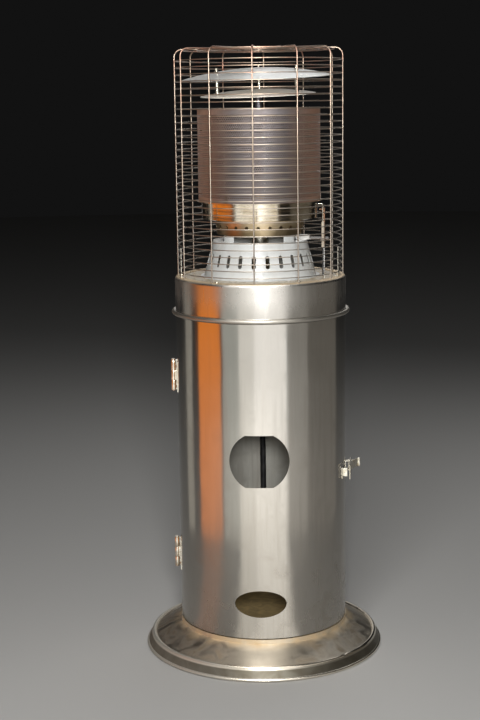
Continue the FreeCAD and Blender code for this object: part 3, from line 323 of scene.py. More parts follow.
def inner_side(finish):
    """1 on faces that look towards the heater's axis, 0 on the others."""
    facing = add(finish.node_tree, "TexCoord", {}).outputs["Normal"]
    sockets = {0: facing, 1: spot_on(finish, (1, 1, 0))}
    outward = add(facing.id_data, "VectorMath", sockets, operation="DOT_PRODUCT").outputs["Value"]
    return ramp(outward, -0.02, -0.06)


def sum_up(operation, first, second):
    return add(first.id_data, "Math", {0: first, 1: second}, operation=operation).outputs["Value"]


def times(first, second):
    return sum_up("MULTIPLY", first, second)


def plus(first, second):
    return sum_up("ADD", first, second)


def most(first, second):
    return sum_up("MAXIMUM", first, second)


def between(value, starts, ends):
    """1 between two soft steps, 0 outside them."""
    return times(ramp(value, *starts), ramp(value, *ends))


def tint(mask, first, second):
    """The first colour where the mask is 0, the second where it is 1."""
    first, second = (c if isinstance(c, bpy.types.NodeSocket) else (*c, 1) for c in (first, second))
    return add(mask.id_data, "Mix", {0: mask, 6: first, 7: second}, data_type="RGBA").outputs[2]


def relief(source, depth, under=None):
    """A bump of this depth in metres, laid over another bump if there is one."""
    sockets = {"Height": source, "Distance": depth}
    if under is not None:
        sockets["Normal"] = under
    return add(source.id_data, "Bump", sockets).outputs["Normal"]


finishes = {}

# %% [markdown]
# The can, the door and the collar are satin stainless sheet. Its grain runs round the can, which smears what
# it mirrors up and down but leaves upright edges sharp, and the thin sheet waves a little. Hands and rain
# leave rougher, browner smudges, and there is a haze near the floor. The lower half of the can is painted
# darker towards the floor, as painted shade. The inner side was never polished: it is a dull grey with damp
# stains. The collar's flange is scorched to beige by the burner, and the bead at its foot is dull. Grain and
# waves are relief, and the rest are masks that drive colour and roughness.

# %% Satin stainless
CLEAN_STEEL, SOILED_STEEL, INNER_STEEL = (0.63, 0.61, 0.575), (0.37, 0.34, 0.295), (0.55, 0.54, 0.49)
# The first colour on the next line is a darker steel, painted on the lower half of the can as painted shade.
SHADED_LOW_STEEL, BEAD_STEEL, SCORCHED_STEEL = (0.3, 0.275, 0.235), (0.38, 0.36, 0.32), (0.68, 0.54, 0.36)
HAZE_LEVELS, DARKER_BELOW_LEVELS = (0.34, 0.04), (0.76, 0.34)
WARM_LEVELS, FLANGE_LEVELS = (0.8, 0.86), (0.8925, 0.8955)
COLLAR_BEAD_STARTS = (0.2012, 0.2024)

finish = new_finish("satin_stainless", 1.0, 0.2)
smudge = patches(finish, 0.05, 0.48, 0.78, twist=0.6)
wiped = patches(finish, 0.25, 0.35, 0.7, stretch=(1, 1, 0.4))
streaks = patches(finish, 0.012, 0.45, 0.75, stretch=(1, 1, 0.06), detail=3.0)
marks = most(smudge, streaks)
haze = ramp(height(finish), *HAZE_LEVELS)
soil = times(times(marks, 0.5), spread(wiped, 0.25, 1))
soil = plus(soil, times(haze, spread(smudge, 0.3, 0.6)))
damp = times(marks, spread(wiped, 0.3, 0.8))
# Painted shade: the can gets darker from 0.76 m down to 0.34 m.
darker_below_shade = ramp(height(finish), *DARKER_BELOW_LEVELS, 0, 0.6)
bead = ramp(reach(finish), *COLLAR_BEAD_STARTS)
inside = inner_side(finish)
scorched = ramp(height(finish), *FLANGE_LEVELS)

outer = tint(darker_below_shade, tint(soil, CLEAN_STEEL, SOILED_STEEL), SHADED_LOW_STEEL)
outer = tint(bead, outer, BEAD_STEEL)
sheet = tint(inside, outer, tint(damp, INNER_STEEL, SOILED_STEEL))
feed(finish, "Base Color", tint(scorched, sheet, SCORCHED_STEEL))
feed(finish, "Metallic", spread(scorched, 1, 0.7))
gloss = ramp(soil, 0, 0.6, 0.13, 0.34)
gloss = plus(gloss, ramp(height(finish), *WARM_LEVELS, 0, 0.14))
gloss = plus(gloss, times(scorched, 0.2))
gloss = most(gloss, times(bead, 0.42))
feed(finish, "Roughness", most(gloss, times(inside, 0.62)))
wave = relief(patches(finish, 0.16, 0.2, 0.8, detail=1.0), 0.001)
grain = patches(finish, 0.0016, 0.2, 0.8, stretch=(0.012, 0.012, 1), detail=2.0)
feed(finish, "Normal", relief(grain, 0.00002, wave))
finishes["stainless"] = finish
print("stainless nodes:", len(finish.node_tree.nodes))

# %% [markdown]
# The foot is the same sheet, but it lies where rain and dirt settle. Brown stains gather on its slope.
# Towards the sides they are painted stronger and darker, which is partly stain and partly painted shade where
# the round foot turns away from the light, while the front is left clean steel. Beige dust lies in the joint
# under the can. The bead and the rolled edge are rubbed bright, the rim between them is dark, and at the left
# this edge is dull and chalky.
# Inside the can, the floor of the foot is covered with dull olive-brown dirt, which shows through the oval
# vent. Each zone is a ring, so it is masked by its distance from the axis.

# %% Foot steel
# The third colour on the next line is the darker stain at the sides: partly stain, partly painted shade.
FOOT_STEEL, STAIN, SIDE_STAIN_AND_SHADE = (0.72, 0.66, 0.56), (0.24, 0.175, 0.105), (0.12, 0.09, 0.055)
JOINT_DUST, ROLL_STEEL, CHALK = (0.62, 0.49, 0.32), (0.74, 0.69, 0.6), (0.4, 0.38, 0.33)
RIM_GREY, RIM_BROWN = (0.14, 0.13, 0.105), (0.1, 0.088, 0.066)
EARTH, DARK_EARTH = (0.6, 0.43, 0.19), (0.36, 0.26, 0.12)
# soft steps, by the distance from the axis
FLOOR_ENDS, JOINT_ENDS = (0.1992, 0.197), (0.222, 0.2015)
SLOPE_STARTS, SLOPE_ENDS = (0.197, 0.206), (0.266, 0.256)
FOOT_BEAD_STARTS, FOOT_BEAD_ENDS = (0.2625, 0.264), (0.2735, 0.272)
EDGE_STARTS, RIM_STARTS, ROLL_STARTS = (0.2615, 0.263), (0.272, 0.274), (0.2806, 0.2816)
# soft steps, by height and from left to right
FLOOR_LEVELS = (0.0585, 0.0595)
FRONT_ENDS, SIDES_START, LEFT_STARTS = (0.05, 0.1), (0.11, 0.19), (-0.05, -0.11)

finish = new_finish("foot_steel", 1.0, 0.25)
out = reach(finish)
across = along(finish, "X")
aside = most(across, times(across, -1))
slope = between(out, SLOPE_STARTS, SLOPE_ENDS)
rubbed = between(out, FOOT_BEAD_STARTS, FOOT_BEAD_ENDS)
rim = ramp(out, *RIM_STARTS)
roll = ramp(out, *ROLL_STARTS)
chalky = times(ramp(out, *EDGE_STARTS), ramp(across, *LEFT_STARTS))
dirt = times(ramp(out, *FLOOR_ENDS), ramp(height(finish), *FLOOR_LEVELS))
dust = times(ramp(out, *JOINT_ENDS), patches(finish, 0.03, 0.2, 0.6))
blotch = patches(finish, 0.045, 0.36, 0.62, twist=0.8)
# The stain grows towards the sides: partly stain, partly painted shade where the foot turns from the light.
side_stain_and_shade = ramp(aside, *FRONT_ENDS, 0.1, 0.85)
stain_and_side_shade = times(blotch, times(slope, side_stain_and_shade))
worn = most(stain_and_side_shade, dust)

# The stain turns darker towards the sides: painted shade laid on a real stain.
brown_stain_and_shade = tint(ramp(aside, *SIDES_START), STAIN, SIDE_STAIN_AND_SHADE)
steel = tint(dust, tint(stain_and_side_shade, FOOT_STEEL, brown_stain_and_shade), JOINT_DUST)
steel = tint(rim, steel, tint(blotch, RIM_GREY, RIM_BROWN))
steel = tint(roll, steel, ROLL_STEEL)
steel = tint(times(chalky, most(rubbed, roll)), steel, CHALK)
earth = tint(patches(finish, 0.03, 0.35, 0.7, twist=1.0), EARTH, DARK_EARTH)
feed(finish, "Base Color", tint(dirt, steel, earth))
metal = plus(spread(worn, 1, 0.65), times(chalky, -0.6))
feed(finish, "Metallic", plus(metal, times(dirt, -1)))
gloss = spread(worn, 0.29, 0.58)
for mask, change in ((rubbed, -0.12), (rim, 0.2), (roll, -0.24), (chalky, 0.25)):
    gloss = plus(gloss, times(mask, change))
feed(finish, "Roughness", most(gloss, times(dirt, 0.85)))
dents = relief(patches(finish, 0.1, 0.2, 0.8, detail=1.0), 0.0003)
feed(finish, "Normal", relief(patches(finish, 0.004, 0.3, 0.7), 0.00004, dents))
finishes["base_steel"] = finish
print("foot nodes:", len(finish.node_tree.nodes))

# %% [markdown]
# White vitreous enamel covers the burner skirt and the two discs. It is glass on steel: glossy, slightly
# wavy, grey where soot and grease have settled, and chipped to dark iron in a few small spots. The lower
# disc's glaze is painted brighter and warmer than the upper one's: painted light where the upper disc shades
# it. The upper disc's glaze is painted a little darker, as painted shade. The plate under the skirt has the
# same glaze in beige, browned by the heat, and the pilot's bracket is burnt where its arm stands in the
# flame's heat.

# %% White enamel
BARE_IRON, BURNT = (0.16, 0.12, 0.09), (0.12, 0.085, 0.06)
CHIP_SCALE, CHIP_STEP = 34.0, (0.055, 0.045)
BRACKET_ARM_STARTS = (0.112, 0.12)


def white_enamel(name, glaze, grime, soiling):
    finish = new_finish(name, 0.0, 0.25)
    soot = patches(finish, 0.05, 0.5, 0.85, twist=0.8)
    runs = patches(finish, 0.02, 0.55, 0.85, stretch=(1, 1, 0.15))
    dirt = times(most(soot, runs), soiling)
    cells = add(finish.node_tree, "TexVoronoi", {"Vector": spot_on(finish), "Scale": CHIP_SCALE})
    chips = ramp(cells.outputs["Distance"], *CHIP_STEP)
    feed(finish, "Base Color", tint(chips, tint(dirt, glaze, grime), BARE_IRON))
    feed(finish, "Roughness", spread(plus(dirt, chips), 0.22, 0.6))
    feed(finish, "Normal", relief(patches(finish, 0.008, 0.2, 0.8, detail=2.0), 0.00012))
    return finish


bracket = white_enamel("pilot_enamel", (0.74, 0.73, 0.69), (0.46, 0.42, 0.35), 0.4)
arm = ramp(along(bracket, "X"), *BRACKET_ARM_STARTS)
feed(bracket, "Base Color", tint(arm, fed_by(bracket, "Base Color"), BURNT))
finishes["white_enamel"] = white_enamel("white_enamel", (0.75, 0.765, 0.75), (0.5, 0.465, 0.4), 0.4)
finishes["plate_enamel"] = white_enamel("plate_enamel", (0.56, 0.46, 0.3), (0.33, 0.2, 0.09), 0.7)
own_enamels = {
    # The two disc glazes differ as painted light: the lower one brighter and warmer, the upper one a little
    # darker.
    "upper_reflector": white_enamel("upper_disc_enamel_painted_shade", (0.7, 0.715, 0.69), (0.52, 0.49, 0.43), 0.3),
    "lower_reflector": white_enamel("lower_disc_enamel_painted_light", (0.97, 0.89, 0.79), (0.72, 0.62, 0.5), 0.3),
    "pilot_bracket": bracket,
}
print("enamels:", 2 + len(own_enamels))

# %% [markdown]
# Steel that has been hot keeps thin oxide colours: straw first, then brown, purple and blue. The bowl is
# mostly straw, with a duller foot, the emitter mauve, and the wires of the guard redden towards the top. One
# helper mixes three oxide colours by a patchy mask and the height, and each piece gets its own set and its
# own slope of heat. Where the emitter turns away from the eye, a brighter brown-pink is painted on: painted
# sheen over its heat tint, standing in for the light seen through two layers of sheet.

# %% Heat tinted steel
STRAW, COPPER_RED, BLUE_BLOOM = (0.68, 0.55, 0.34), (0.5, 0.2, 0.13), (0.2, 0.2, 0.22)
# cool, warm and hot colour, levels from cool to hot, roughness, patch size, metallic
TINTED_STEELS = {
    "bowl_steel": ((0.2, 0.155, 0.09), (0.5, 0.4, 0.26), (0.82, 0.76, 0.64), 0.995, 1.034, 0.13, 0.05, 1),
    "cap_steel": ((0.22, 0.19, 0.16), (0.15, 0.12, 0.1), BLUE_BLOOM, 1.0, 1.28, 0.45, 0.04, 1),
    "guard_wire": ((0.36, 0.33, 0.29), (0.34, 0.27, 0.21), COPPER_RED, 0.95, 1.6, 0.32, 0.06, 0.95),
    "bracket_steel": ((0.6, 0.58, 0.52), (0.55, 0.5, 0.42), STRAW, 0.9, 1.4, 0.3, 0.03, 1),
}
BOWL_FOOT, BOWL_FOOT_ROUGHNESS = (1.028, 1.024), 0.36
EMITTER_FACE = (0.155, 0.142, 0.146), (0.172, 0.143, 0.13)
# The emitter's edge colours: painted sheen over the heat tint, where the sheet turns away from the eye.
EMITTER_EDGE_SHEEN = (0.46, 0.28, 0.2), (0.4, 0.26, 0.19)


def tinted_steel(name, cool, warm, hot, low, high, gloss, patch, metallic):
    finish = new_finish(name, metallic, gloss)
    rise = ramp(height(finish), low, high)
    bloom = patches(finish, patch, 0.3, 0.7, twist=1.0)
    heat = plus(times(rise, 0.75), times(bloom, 0.4))
    body = tint(ramp(heat, 0.1, 0.6), cool, warm)
    feed(finish, "Base Color", tint(ramp(heat, 0.65, 1.1), body, hot))
    feed(finish, "Roughness", spread(bloom, gloss * 0.8, gloss * 1.4))
    feed(finish, "Normal", relief(patches(finish, 0.003, 0.3, 0.7, detail=3.0), 0.00003))
    return finish


for slot, values in TINTED_STEELS.items():
    finishes[slot] = tinted_steel(slot, *values)
finish = new_finish("emitter_steel", 0.85, 0.5)
bloom = patches(finish, 0.07, 0.35, 0.7, stretch=(1, 1, 0.3), twist=0.6)
turned_away = add(finish.node_tree, "LayerWeight", {"Blend": 0.5}).outputs["Facing"]
mauve = tint(bloom, *EMITTER_FACE)
# Where the sheet turns away from the eye, a brighter brown-pink is painted: painted sheen over the heat tint.
feed(finish, "Base Color", tint(ramp(turned_away, 0.1, 0.5), mauve, tint(bloom, *EMITTER_EDGE_SHEEN)))
feed(finish, "Roughness", spread(bloom, 0.55, 0.68))
feed(finish, "Normal", relief(patches(finish, 0.02, 0.3, 0.7, detail=2.0), 0.0002))
finishes["emitter_steel"] = finish
bowl = finishes["bowl_steel"]
bowl_foot = ramp(height(bowl), *BOWL_FOOT, 0, BOWL_FOOT_ROUGHNESS)
feed(bowl, "Roughness", most(fed_by(bowl, "Roughness"), bowl_foot))
print("tinted steels:", 1 + len(TINTED_STEELS))

# %% [markdown]
# Hinges, latch and screws are zinc plated and bright, with duller, yellower bloom where the plating has aged.
# Brass, aluminium and copper fittings differ in colour only, so one helper makes them all. The brass of the
# pilot burner has been hot and is brown.

# %% Plated and plain metals
# name, bright colour, aged colour, roughness
FITTING_METALS = {
    "zinc": ("zinc_plate", (0.78, 0.76, 0.68), (0.55, 0.49, 0.38), 0.2),
    "brass": ("machined_brass", (0.74, 0.55, 0.26), (0.42, 0.29, 0.13), 0.24),
    "aluminium_pipe": ("drawn_aluminium", (0.76, 0.76, 0.76), (0.55, 0.55, 0.54), 0.3),
    "copper": ("copper_sheath", (0.72, 0.4, 0.26), (0.36, 0.19, 0.12), 0.28),
    "pilot_brass": ("heated_brass", (0.36, 0.2, 0.12), (0.16, 0.1, 0.07), 0.34),
}


def fitting_metal(name, bright, aged, gloss):
    finish = new_finish(name, 1.0, gloss)
    age = patches(finish, 0.012, 0.4, 0.7, twist=0.5)
    feed(finish, "Base Color", tint(age, bright, aged))
    feed(finish, "Roughness", spread(age, gloss * 0.75, gloss * 1.8))
    scratch = patches(finish, 0.0012, 0.3, 0.7, stretch=(1, 0.2, 1), detail=2.0)
    feed(finish, "Normal", relief(scratch, 0.00003))
    return finish


for slot, values in FITTING_METALS.items():
    finishes[slot] = fitting_metal(*values)
print("fitting metals:", len(FITTING_METALS))

# %% [markdown]
# The last finishes don't shine like metal: moulded plastic for the knob, the hand wheel and the button,
# rubber for the hose, paint for the regulator and glazed ceramic for the spark plug. Each has its own grain
# and its own dust.

# %% Plastics, rubber, paint and ceramic
# name, fresh colour, dusty colour, roughness, grain size, grain depth
DULL_FINISHES = {
    "black_plastic": ("moulded_black", (0.02, 0.02, 0.021), (0.07, 0.066, 0.06), 0.42, 0.0008, 0.00006),
    "red_plastic": ("moulded_red", (0.5, 0.025, 0.02), (0.3, 0.03, 0.025), 0.25, 0.003, 0.00003),
    "hose_rubber": ("hose_rubber", (0.013, 0.013, 0.014), (0.05, 0.048, 0.045), 0.5, 0.0015, 0.00008),
    "regulator_grey": ("cast_grey_paint", (0.42, 0.43, 0.44), (0.26, 0.25, 0.23), 0.4, 0.002, 0.00008),
    "ceramic": ("glazed_ceramic", (0.6, 0.52, 0.42), (0.3, 0.23, 0.17), 0.22, 0.004, 0.00002),
}


def dull_finish(name, fresh, dusty, gloss, grain, depth):
    finish = new_finish(name, 0.0, gloss)
    dust = patches(finish, 0.02, 0.45, 0.85, twist=0.4)
    feed(finish, "Base Color", tint(dust, fresh, dusty))
    feed(finish, "Roughness", spread(dust, gloss * 0.85, gloss * 1.5))
    feed(finish, "Normal", relief(patches(finish, grain, 0.3, 0.7, detail=3.0), depth))
    return finish


for slot, values in DULL_FINISHES.items():
    finishes[slot] = dull_finish(*values)
print("finishes:", sorted(finishes))

# %% [markdown]
# Every solid names its slot in the record, so its finish is found by name. The solid's mesh is left alone and
# only its material changes. A few solids have a finish of their own.

# %% Put the finishes on the solids
for subpart in frame["record"]["subparts"]:
    solid = solids[subpart["node"]]
    solid.data.materials.clear()
    solid.data.materials.append(finishes[subpart["material_slot"]])
for name, enamel in own_enamels.items():
    solids[name].data.materials[0] = enamel
for name in ("pilot_burner", "thermocouple"):
    solids[name].data.materials[0] = finishes["pilot_brass"]
rubber_hose.data.materials.append(finishes["hose_rubber"])

# %% [markdown]
# New pieces are modelled as by hand: a primitive is added, shaped in edit mode and finished with modifiers.

# %% Helpers for modelling
SMOOTH_UNDER = math.radians(35)
UP_TO_FRONT = Matrix.Rotation(math.pi / 2, 4, "X")


def start(name, primitive, **settings):
    """Adds a primitive, with its origin at the middle of the world."""
    deselect()
    primitive(**settings)
    piece = bpy.context.object
    piece.name = name
    bpy.ops.object.transform_apply(location=True, rotation=True, scale=True)
    return piece


def select_all():
    bpy.ops.mesh.select_all(action="SELECT")


def edit(piece):
    bpy.context.view_layer.objects.active = piece
    bpy.ops.object.mode_set(mode="EDIT")
    select_all()


def leave_edit():
    bpy.ops.object.mode_set(mode="OBJECT")


def scale(x, y, z, about=(0, 0, 0)):
    bpy.ops.transform.resize(value=(x, y, z), center_override=about)


def pick(piece, test, kind="verts"):
    """Selects the vertices, edges or faces in edit mode that pass a test."""
    mesh = bmesh.from_edit_mesh(piece.data)
    for vert in mesh.verts:
        vert.select_set(False)
    mesh.select_flush(False)
    for part in getattr(mesh, kind):
        if test(part):
            part.select_set(True)
    mesh.select_flush_mode()
    bmesh.update_edit_mesh(piece.data)


def use(piece, kind, **settings):
    """Adds a modifier with these settings and applies it."""
    modifier = piece.modifiers.new(kind.lower(), kind)
    for name, value in settings.items():
        setattr(modifier, name, value)
    bpy.context.view_layer.objects.active = piece
    bpy.ops.object.modifier_apply(modifier=modifier.name)


def in_row(piece, count, step):
    use(piece, "ARRAY", count=count, use_relative_offset=False, use_constant_offset=True,
        constant_offset_displace=step)


def round_about(bearing):
    return Matrix.Rotation(math.radians(bearing), 4, "Z")


def copy_at(piece, place):
    copy = piece.copy()
    copy.data = piece.data.copy()
    copy.data.transform(place)
    bpy.context.collection.objects.link(copy)
    return copy


def smooth(piece):
    deselect()
    piece.select_set(True)
    bpy.context.view_layer.objects.active = piece
    bpy.ops.object.shade_smooth_by_angle(angle=SMOOTH_UNDER)


def finish_piece(piece, body, slot, *replaced):
    """Gives a new piece its finish and says which body it rides on and which solids it stands for."""
    piece.data.materials.clear()
    piece.data.materials.append(finishes[slot])
    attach(piece, body)
    if replaced:
        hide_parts(*replaced)
    return piece


# %% [markdown]
# The emitter is a tube of perforated sheet that glows when the burner is lit. Thousands of holes would be
# slow to cut one by one, so one six-sided cell with a hole is modelled and repeated: in a row, in a second
# row shifted by half a cell, and then upwards. Six-sided cells fit together with no gaps. The flat sheet gets
# plain strips at its top and foot.

# %% Perforated sheet
EMITTER_RADIUS = 0.141
EMITTER_PANELS, CELLS_IN_PANEL = 3, 60
HOLE_SHARE = 0.6
PLAIN_STRIPS = 0.012

emitter_low, emitter_high = (corner.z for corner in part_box("emitter_screen"))
emitter_tall = emitter_high - emitter_low
cell_width = 2 * math.pi * EMITTER_RADIUS / (EMITTER_PANELS * CELLS_IN_PANEL)
cell_side = cell_width / math.sqrt(3)
row_pairs = int((emitter_tall - PLAIN_STRIPS) / (3 * cell_side))

sheet = start("emitter_panel_0", bpy.ops.mesh.primitive_circle_add, vertices=6, radius=cell_side * HOLE_SHARE)
edit(sheet)
bpy.ops.mesh.extrude_edges_move()
scale(1 / HOLE_SHARE, 1 / HOLE_SHARE, 1)
leave_edit()
in_row(sheet, CELLS_IN_PANEL, (cell_width, 0, 0))
edit(sheet)
bpy.ops.mesh.duplicate()
bpy.ops.transform.translate(value=(cell_width / 2, 1.5 * cell_side, 0))
leave_edit()
in_row(sheet, row_pairs, (0, 3 * cell_side, 0))
edit(sheet)
bpy.ops.mesh.remove_doubles(threshold=cell_side * 0.05)
bpy.ops.mesh.normals_make_consistent(inside=False)
ys = [v.co.y for v in bmesh.from_edit_mesh(sheet.data).verts]
foot, head = min(ys), max(ys)
near = 0.6 * cell_side
margin = (emitter_tall - (head - foot)) / 2
for end, way in ((foot, -1), (head, 1)):
    pick(sheet, lambda e: e.is_boundary and all(abs(v.co.y - end) < near for v in e.verts), "edges")
    bpy.ops.mesh.extrude_edges_move()
    scale(1, 0, 1, (0, end + way * margin, 0))
select_all()
bpy.ops.transform.translate(value=(-(CELLS_IN_PANEL - 0.5) * cell_width / 2, -(foot + head) / 2, 0))
leave_edit()
sheet.data.transform(UP_TO_FRONT)
print("emitter sheet:", len(sheet.data.polygons), "faces")

# %% [markdown]
# A bend modifier rolls the flat sheet into a third of the tube, so the bend's angle is the sheet's width over
# the tube's radius. Two turned copies close the tube, and Solidify gives each panel its thickness.

# %% Roll the emitter and copy its panels
EMITTER_WALL = 0.0006

bend = sheet.dimensions.x / EMITTER_RADIUS
use(sheet, "SIMPLE_DEFORM", deform_method="BEND", deform_axis="Z", angle=bend)
sheet.data.transform(Matrix.Translation((0, -EMITTER_RADIUS, (emitter_low + emitter_high) / 2)))
panels = [sheet]
for third in range(1, EMITTER_PANELS):
    panels.append(copy_at(sheet, round_about(third * 360 / EMITTER_PANELS)))
    panels[third].name = f"emitter_panel_{third}"
for panel in panels:
    use(panel, "SOLIDIFY", thickness=EMITTER_WALL, offset=-1)
    finish_piece(panel, "housing", "emitter_steel", "emitter_screen")
print("emitter triangles:", sum(len(p.vertices) - 2 for q in panels for p in q.data.polygons))

# %% [markdown]
# The guard's rings are spot welded to its uprights. Every crossing has a small nugget, squashed on the sides
# and round on top, where the uprights run in towards the middle. One nugget is modelled from a sphere, an
# array repeats it along an upright, and a second array, round an empty that is turned by one step, copies the
# row to every upright.

# %% Guard welds
UPRIGHTS, FIRST_UPRIGHT = 12, -2
SIDE_RINGS, RING_PITCH, FIRST_RING, WELD_REACH = 32, 0.0155, 0.908, 0.19165
TOP_RINGS, TOP_STEP, TOP_FIRST, TOP_LEVEL = 5, 0.03285, 0.043, 1.4133
WELD_RADIUS, SQUASHED, ROUND = 0.0016, (1.15, 1.0, 0.9, 1), (1, 1, 1, 1)


def weld_nuggets(name, shape, first, count, step):
    welds = start(name, bpy.ops.mesh.primitive_uv_sphere_add, segments=8, ring_count=6, radius=WELD_RADIUS)
    welds.data.transform(Matrix.Translation(first) @ Matrix.Diagonal(shape))
    in_row(welds, count, step)
    welds.data.transform(round_about(FIRST_UPRIGHT))
    bpy.ops.object.empty_add(rotation=(0, 0, 2 * math.pi / UPRIGHTS))
    one_step = bpy.context.object
    use(welds, "ARRAY", count=UPRIGHTS, use_relative_offset=False, use_object_offset=True,
        offset_object=one_step)
    bpy.data.objects.remove(one_step)
    smooth(welds)
    finish_piece(welds, "housing", "guard_wire")
    print(name, len(welds.data.polygons), "faces")


weld_nuggets("guard_welds", SQUASHED, (0, -WELD_REACH, FIRST_RING), SIDE_RINGS, (0, 0, RING_PITCH))
weld_nuggets("guard_top_welds", ROUND, (0, -TOP_FIRST, TOP_LEVEL), TOP_RINGS, (0, -TOP_STEP, 0))

# %% [markdown]
# Round-headed rivets hold the shells, the hinges and the latch. One rivet is a half sphere pressed flat, with
# its shank and the spread tail that is left on the inner side. It is modelled with its axis up and copied to
# each hole, turned so that its axis points away from the heater.

# %% Rivets
RIVET_HEAD, RIVET_RISE, RIVET_SHANK, RIVET_GRIP = 0.004, 0.0015, 0.002, 0.0028
TAIL_RADIUS, TAIL_RISE = 0.0027, 0.0008
LIP_OUT, COLLAR_OUT, LEAF_OUT = 0.2006, 0.2001, 0.2006
LIP_LEVEL, SEAM_LEVEL = 0.065, 0.828
SHELL_BEARINGS = (110, 145, 180, 215, 250)
FRAME_LEAF, DOOR_LEAF, LATCH, KEEPER = -95.5, -84.5, 104.5, 78.9
HINGE_ROWS = [middle + step for middle in (0.22, 0.657) for step in (-0.024, 0.024)]
LATCH_ROWS, KEEPER_ROWS = (0.424, 0.436), (0.423, 0.437)


def stack(radius, low, high, sides=64, spot=(0, 0)):
    """Adds an upright cylinder between two levels to the mesh in edit mode and leaves it selected."""
    bpy.ops.mesh.primitive_cylinder_add(
        vertices=sides, radius=radius, depth=high - low, location=(*spot, (low + high) / 2))


def done(piece):
    """Leaves edit mode with the normals facing out and smooth shading between sharp edges."""
    select_all()
    bpy.ops.mesh.normals_make_consistent(inside=False)
    leave_edit()
    smooth(piece)


def on_wall(bearing, out, level):
    """A place on a round wall, with z away from the axis and y up."""
    return round_about(bearing) @ Matrix.Translation((0, -out, level)) @ UP_TO_FRONT


def copies(piece, name, places):
    """One piece made of copies of this one at these places; the pattern itself is kept."""
    parts = [copy_at(piece, place) for place in places]
    deselect()
    for part in parts:
        part.select_set(True)
    bpy.context.view_layer.objects.active = parts[0]
    bpy.ops.object.join()
    parts[0].name = name
    return parts[0]


rivet = start("rivet", bpy.ops.mesh.primitive_uv_sphere_add, segments=20, ring_count=10, radius=RIVET_HEAD)
edit(rivet)
bpy.ops.mesh.bisect(plane_co=(0, 0, 0), plane_no=(0, 0, 1), use_fill=True, clear_inner=True)
select_all()
scale(1, 1, RIVET_RISE / RIVET_HEAD)
stack(RIVET_SHANK, -RIVET_GRIP, 0, 16)
stack(TAIL_RADIUS, -RIVET_GRIP - TAIL_RISE, -RIVET_GRIP, 16)
done(rivet)
shell_places = [on_wall(b, LIP_OUT, LIP_LEVEL) for b in SHELL_BEARINGS]
shell_places += [on_wall(b, COLLAR_OUT, SEAM_LEVEL) for b in SHELL_BEARINGS]
frame_places = [on_wall(FRAME_LEAF, LEAF_OUT, z) for z in HINGE_ROWS]
frame_places += [on_wall(LATCH, LEAF_OUT, z) for z in LATCH_ROWS]
door_places = [on_wall(DOOR_LEAF, LEAF_OUT, z) for z in HINGE_ROWS]
door_places += [on_wall(KEEPER, LEAF_OUT, z) for z in KEEPER_ROWS]
for name, body, places in (
        ("shell_rivets", "housing", shell_places),
        ("frame_rivets", "housing", frame_places),
        ("door_rivets", "door", door_places)):
    finish_piece(copies(rivet, "domed_" + name, places), body, "zinc", name)
    print(name, len(places))
bpy.data.objects.remove(rivet)

# %% [markdown]
# Six pan-head screws hold the plate under the collar's flange. The head is a short cylinder with a rounded
# rim, and the cross in it is cut with a boolean by two crossed bars. No two screws stop at the same turn.

# %% Flange screws
SCREWS, FIRST_SCREW, SCREW_TURN = 6, 30, math.degrees(1.1)
SCREW_CIRCLE, SCREW_SEAT = 0.1841, 0.896
SCREW_HEAD, SCREW_RISE, SCREW_ROUND = 0.004, 0.0024, 0.0011
SCREW_SHANK, SCREW_LONG = 0.002, 0.0105
CROSS_LONG, CROSS_WIDE, CROSS_DEEP = 0.0046, 0.001, 0.0026


def upright(name, radius, low, high, sides, **settings):
    """A new piece that starts as an upright cylinder between two levels."""
    return start(name, bpy.ops.mesh.primitive_cylinder_add, vertices=sides, radius=radius,
                 depth=high - low, location=(0, 0, (low + high) / 2), **settings)


def cross_head(piece, top):
    """Cuts a cross recess into the top of a screw head."""
    add_bar = bpy.ops.mesh.primitive_cube_add
    bar = {"size": 1, "location": (0, 0, top)}
    cutter = start("cross", add_bar, **bar, scale=(CROSS_LONG, CROSS_WIDE, CROSS_DEEP))
    edit(cutter)
    add_bar(**bar, scale=(CROSS_WIDE, CROSS_LONG, CROSS_DEEP))
    leave_edit()
    use(piece, "BOOLEAN", operation="DIFFERENCE", object=cutter, use_self=True)
    bpy.data.objects.remove(cutter)


screw = upright("screw", SCREW_HEAD, 0, SCREW_RISE, 32)
edit(screw)
pick(screw, lambda e: all(v.co.z > 0.9 * SCREW_RISE for v in e.verts), "edges")
bpy.ops.mesh.bevel(offset=SCREW_ROUND, segments=3)
done(screw)
cross_head(screw, SCREW_RISE)
edit(screw)
stack(SCREW_SHANK, -SCREW_LONG, 0, 16)
done(screw)
seat = Matrix.Translation((0, -SCREW_CIRCLE, SCREW_SEAT))
screw_places = [round_about(FIRST_SCREW + i * 360 / SCREWS) @ seat @ round_about(i * SCREW_TURN)
                for i in range(SCREWS)]
finish_piece(copies(screw, "flange_cross_screws", screw_places), "housing", "zinc", "flange_screws")
bpy.data.objects.remove(screw)
print("flange screws:", len(screw_places))

# %% [markdown]
# Three long bolts hold the two discs apart. Each has a round head under the lower disc, and a washer and a
# hexagon nut on the upper one. The discs lean a little, so the bolts are placed in the discs' own frame.

# %% Disc bolts
LEAN_LEVEL, LEAN_BACK, LEAN_ASIDE = 1.2792, math.radians(2.5), math.radians(-1.5)
POST_CIRCLE, POST_BEARINGS = 0.104, (60, 180, 300)
BOLT_RADIUS, BOLT_HEAD, HEAD_TOP, HEAD_SHARE, BOLT_TIP = 0.0024, 0.0046, 0.03484, 0.65, 0.01
NUT_FOOT, NUT_RADIUS, NUT_RISE, NUT_ROUND = 0.0858, 0.0049, 0.0036, 0.0004
WASHER_RADIUS, WASHER_RISE = 0.0062, 0.0008

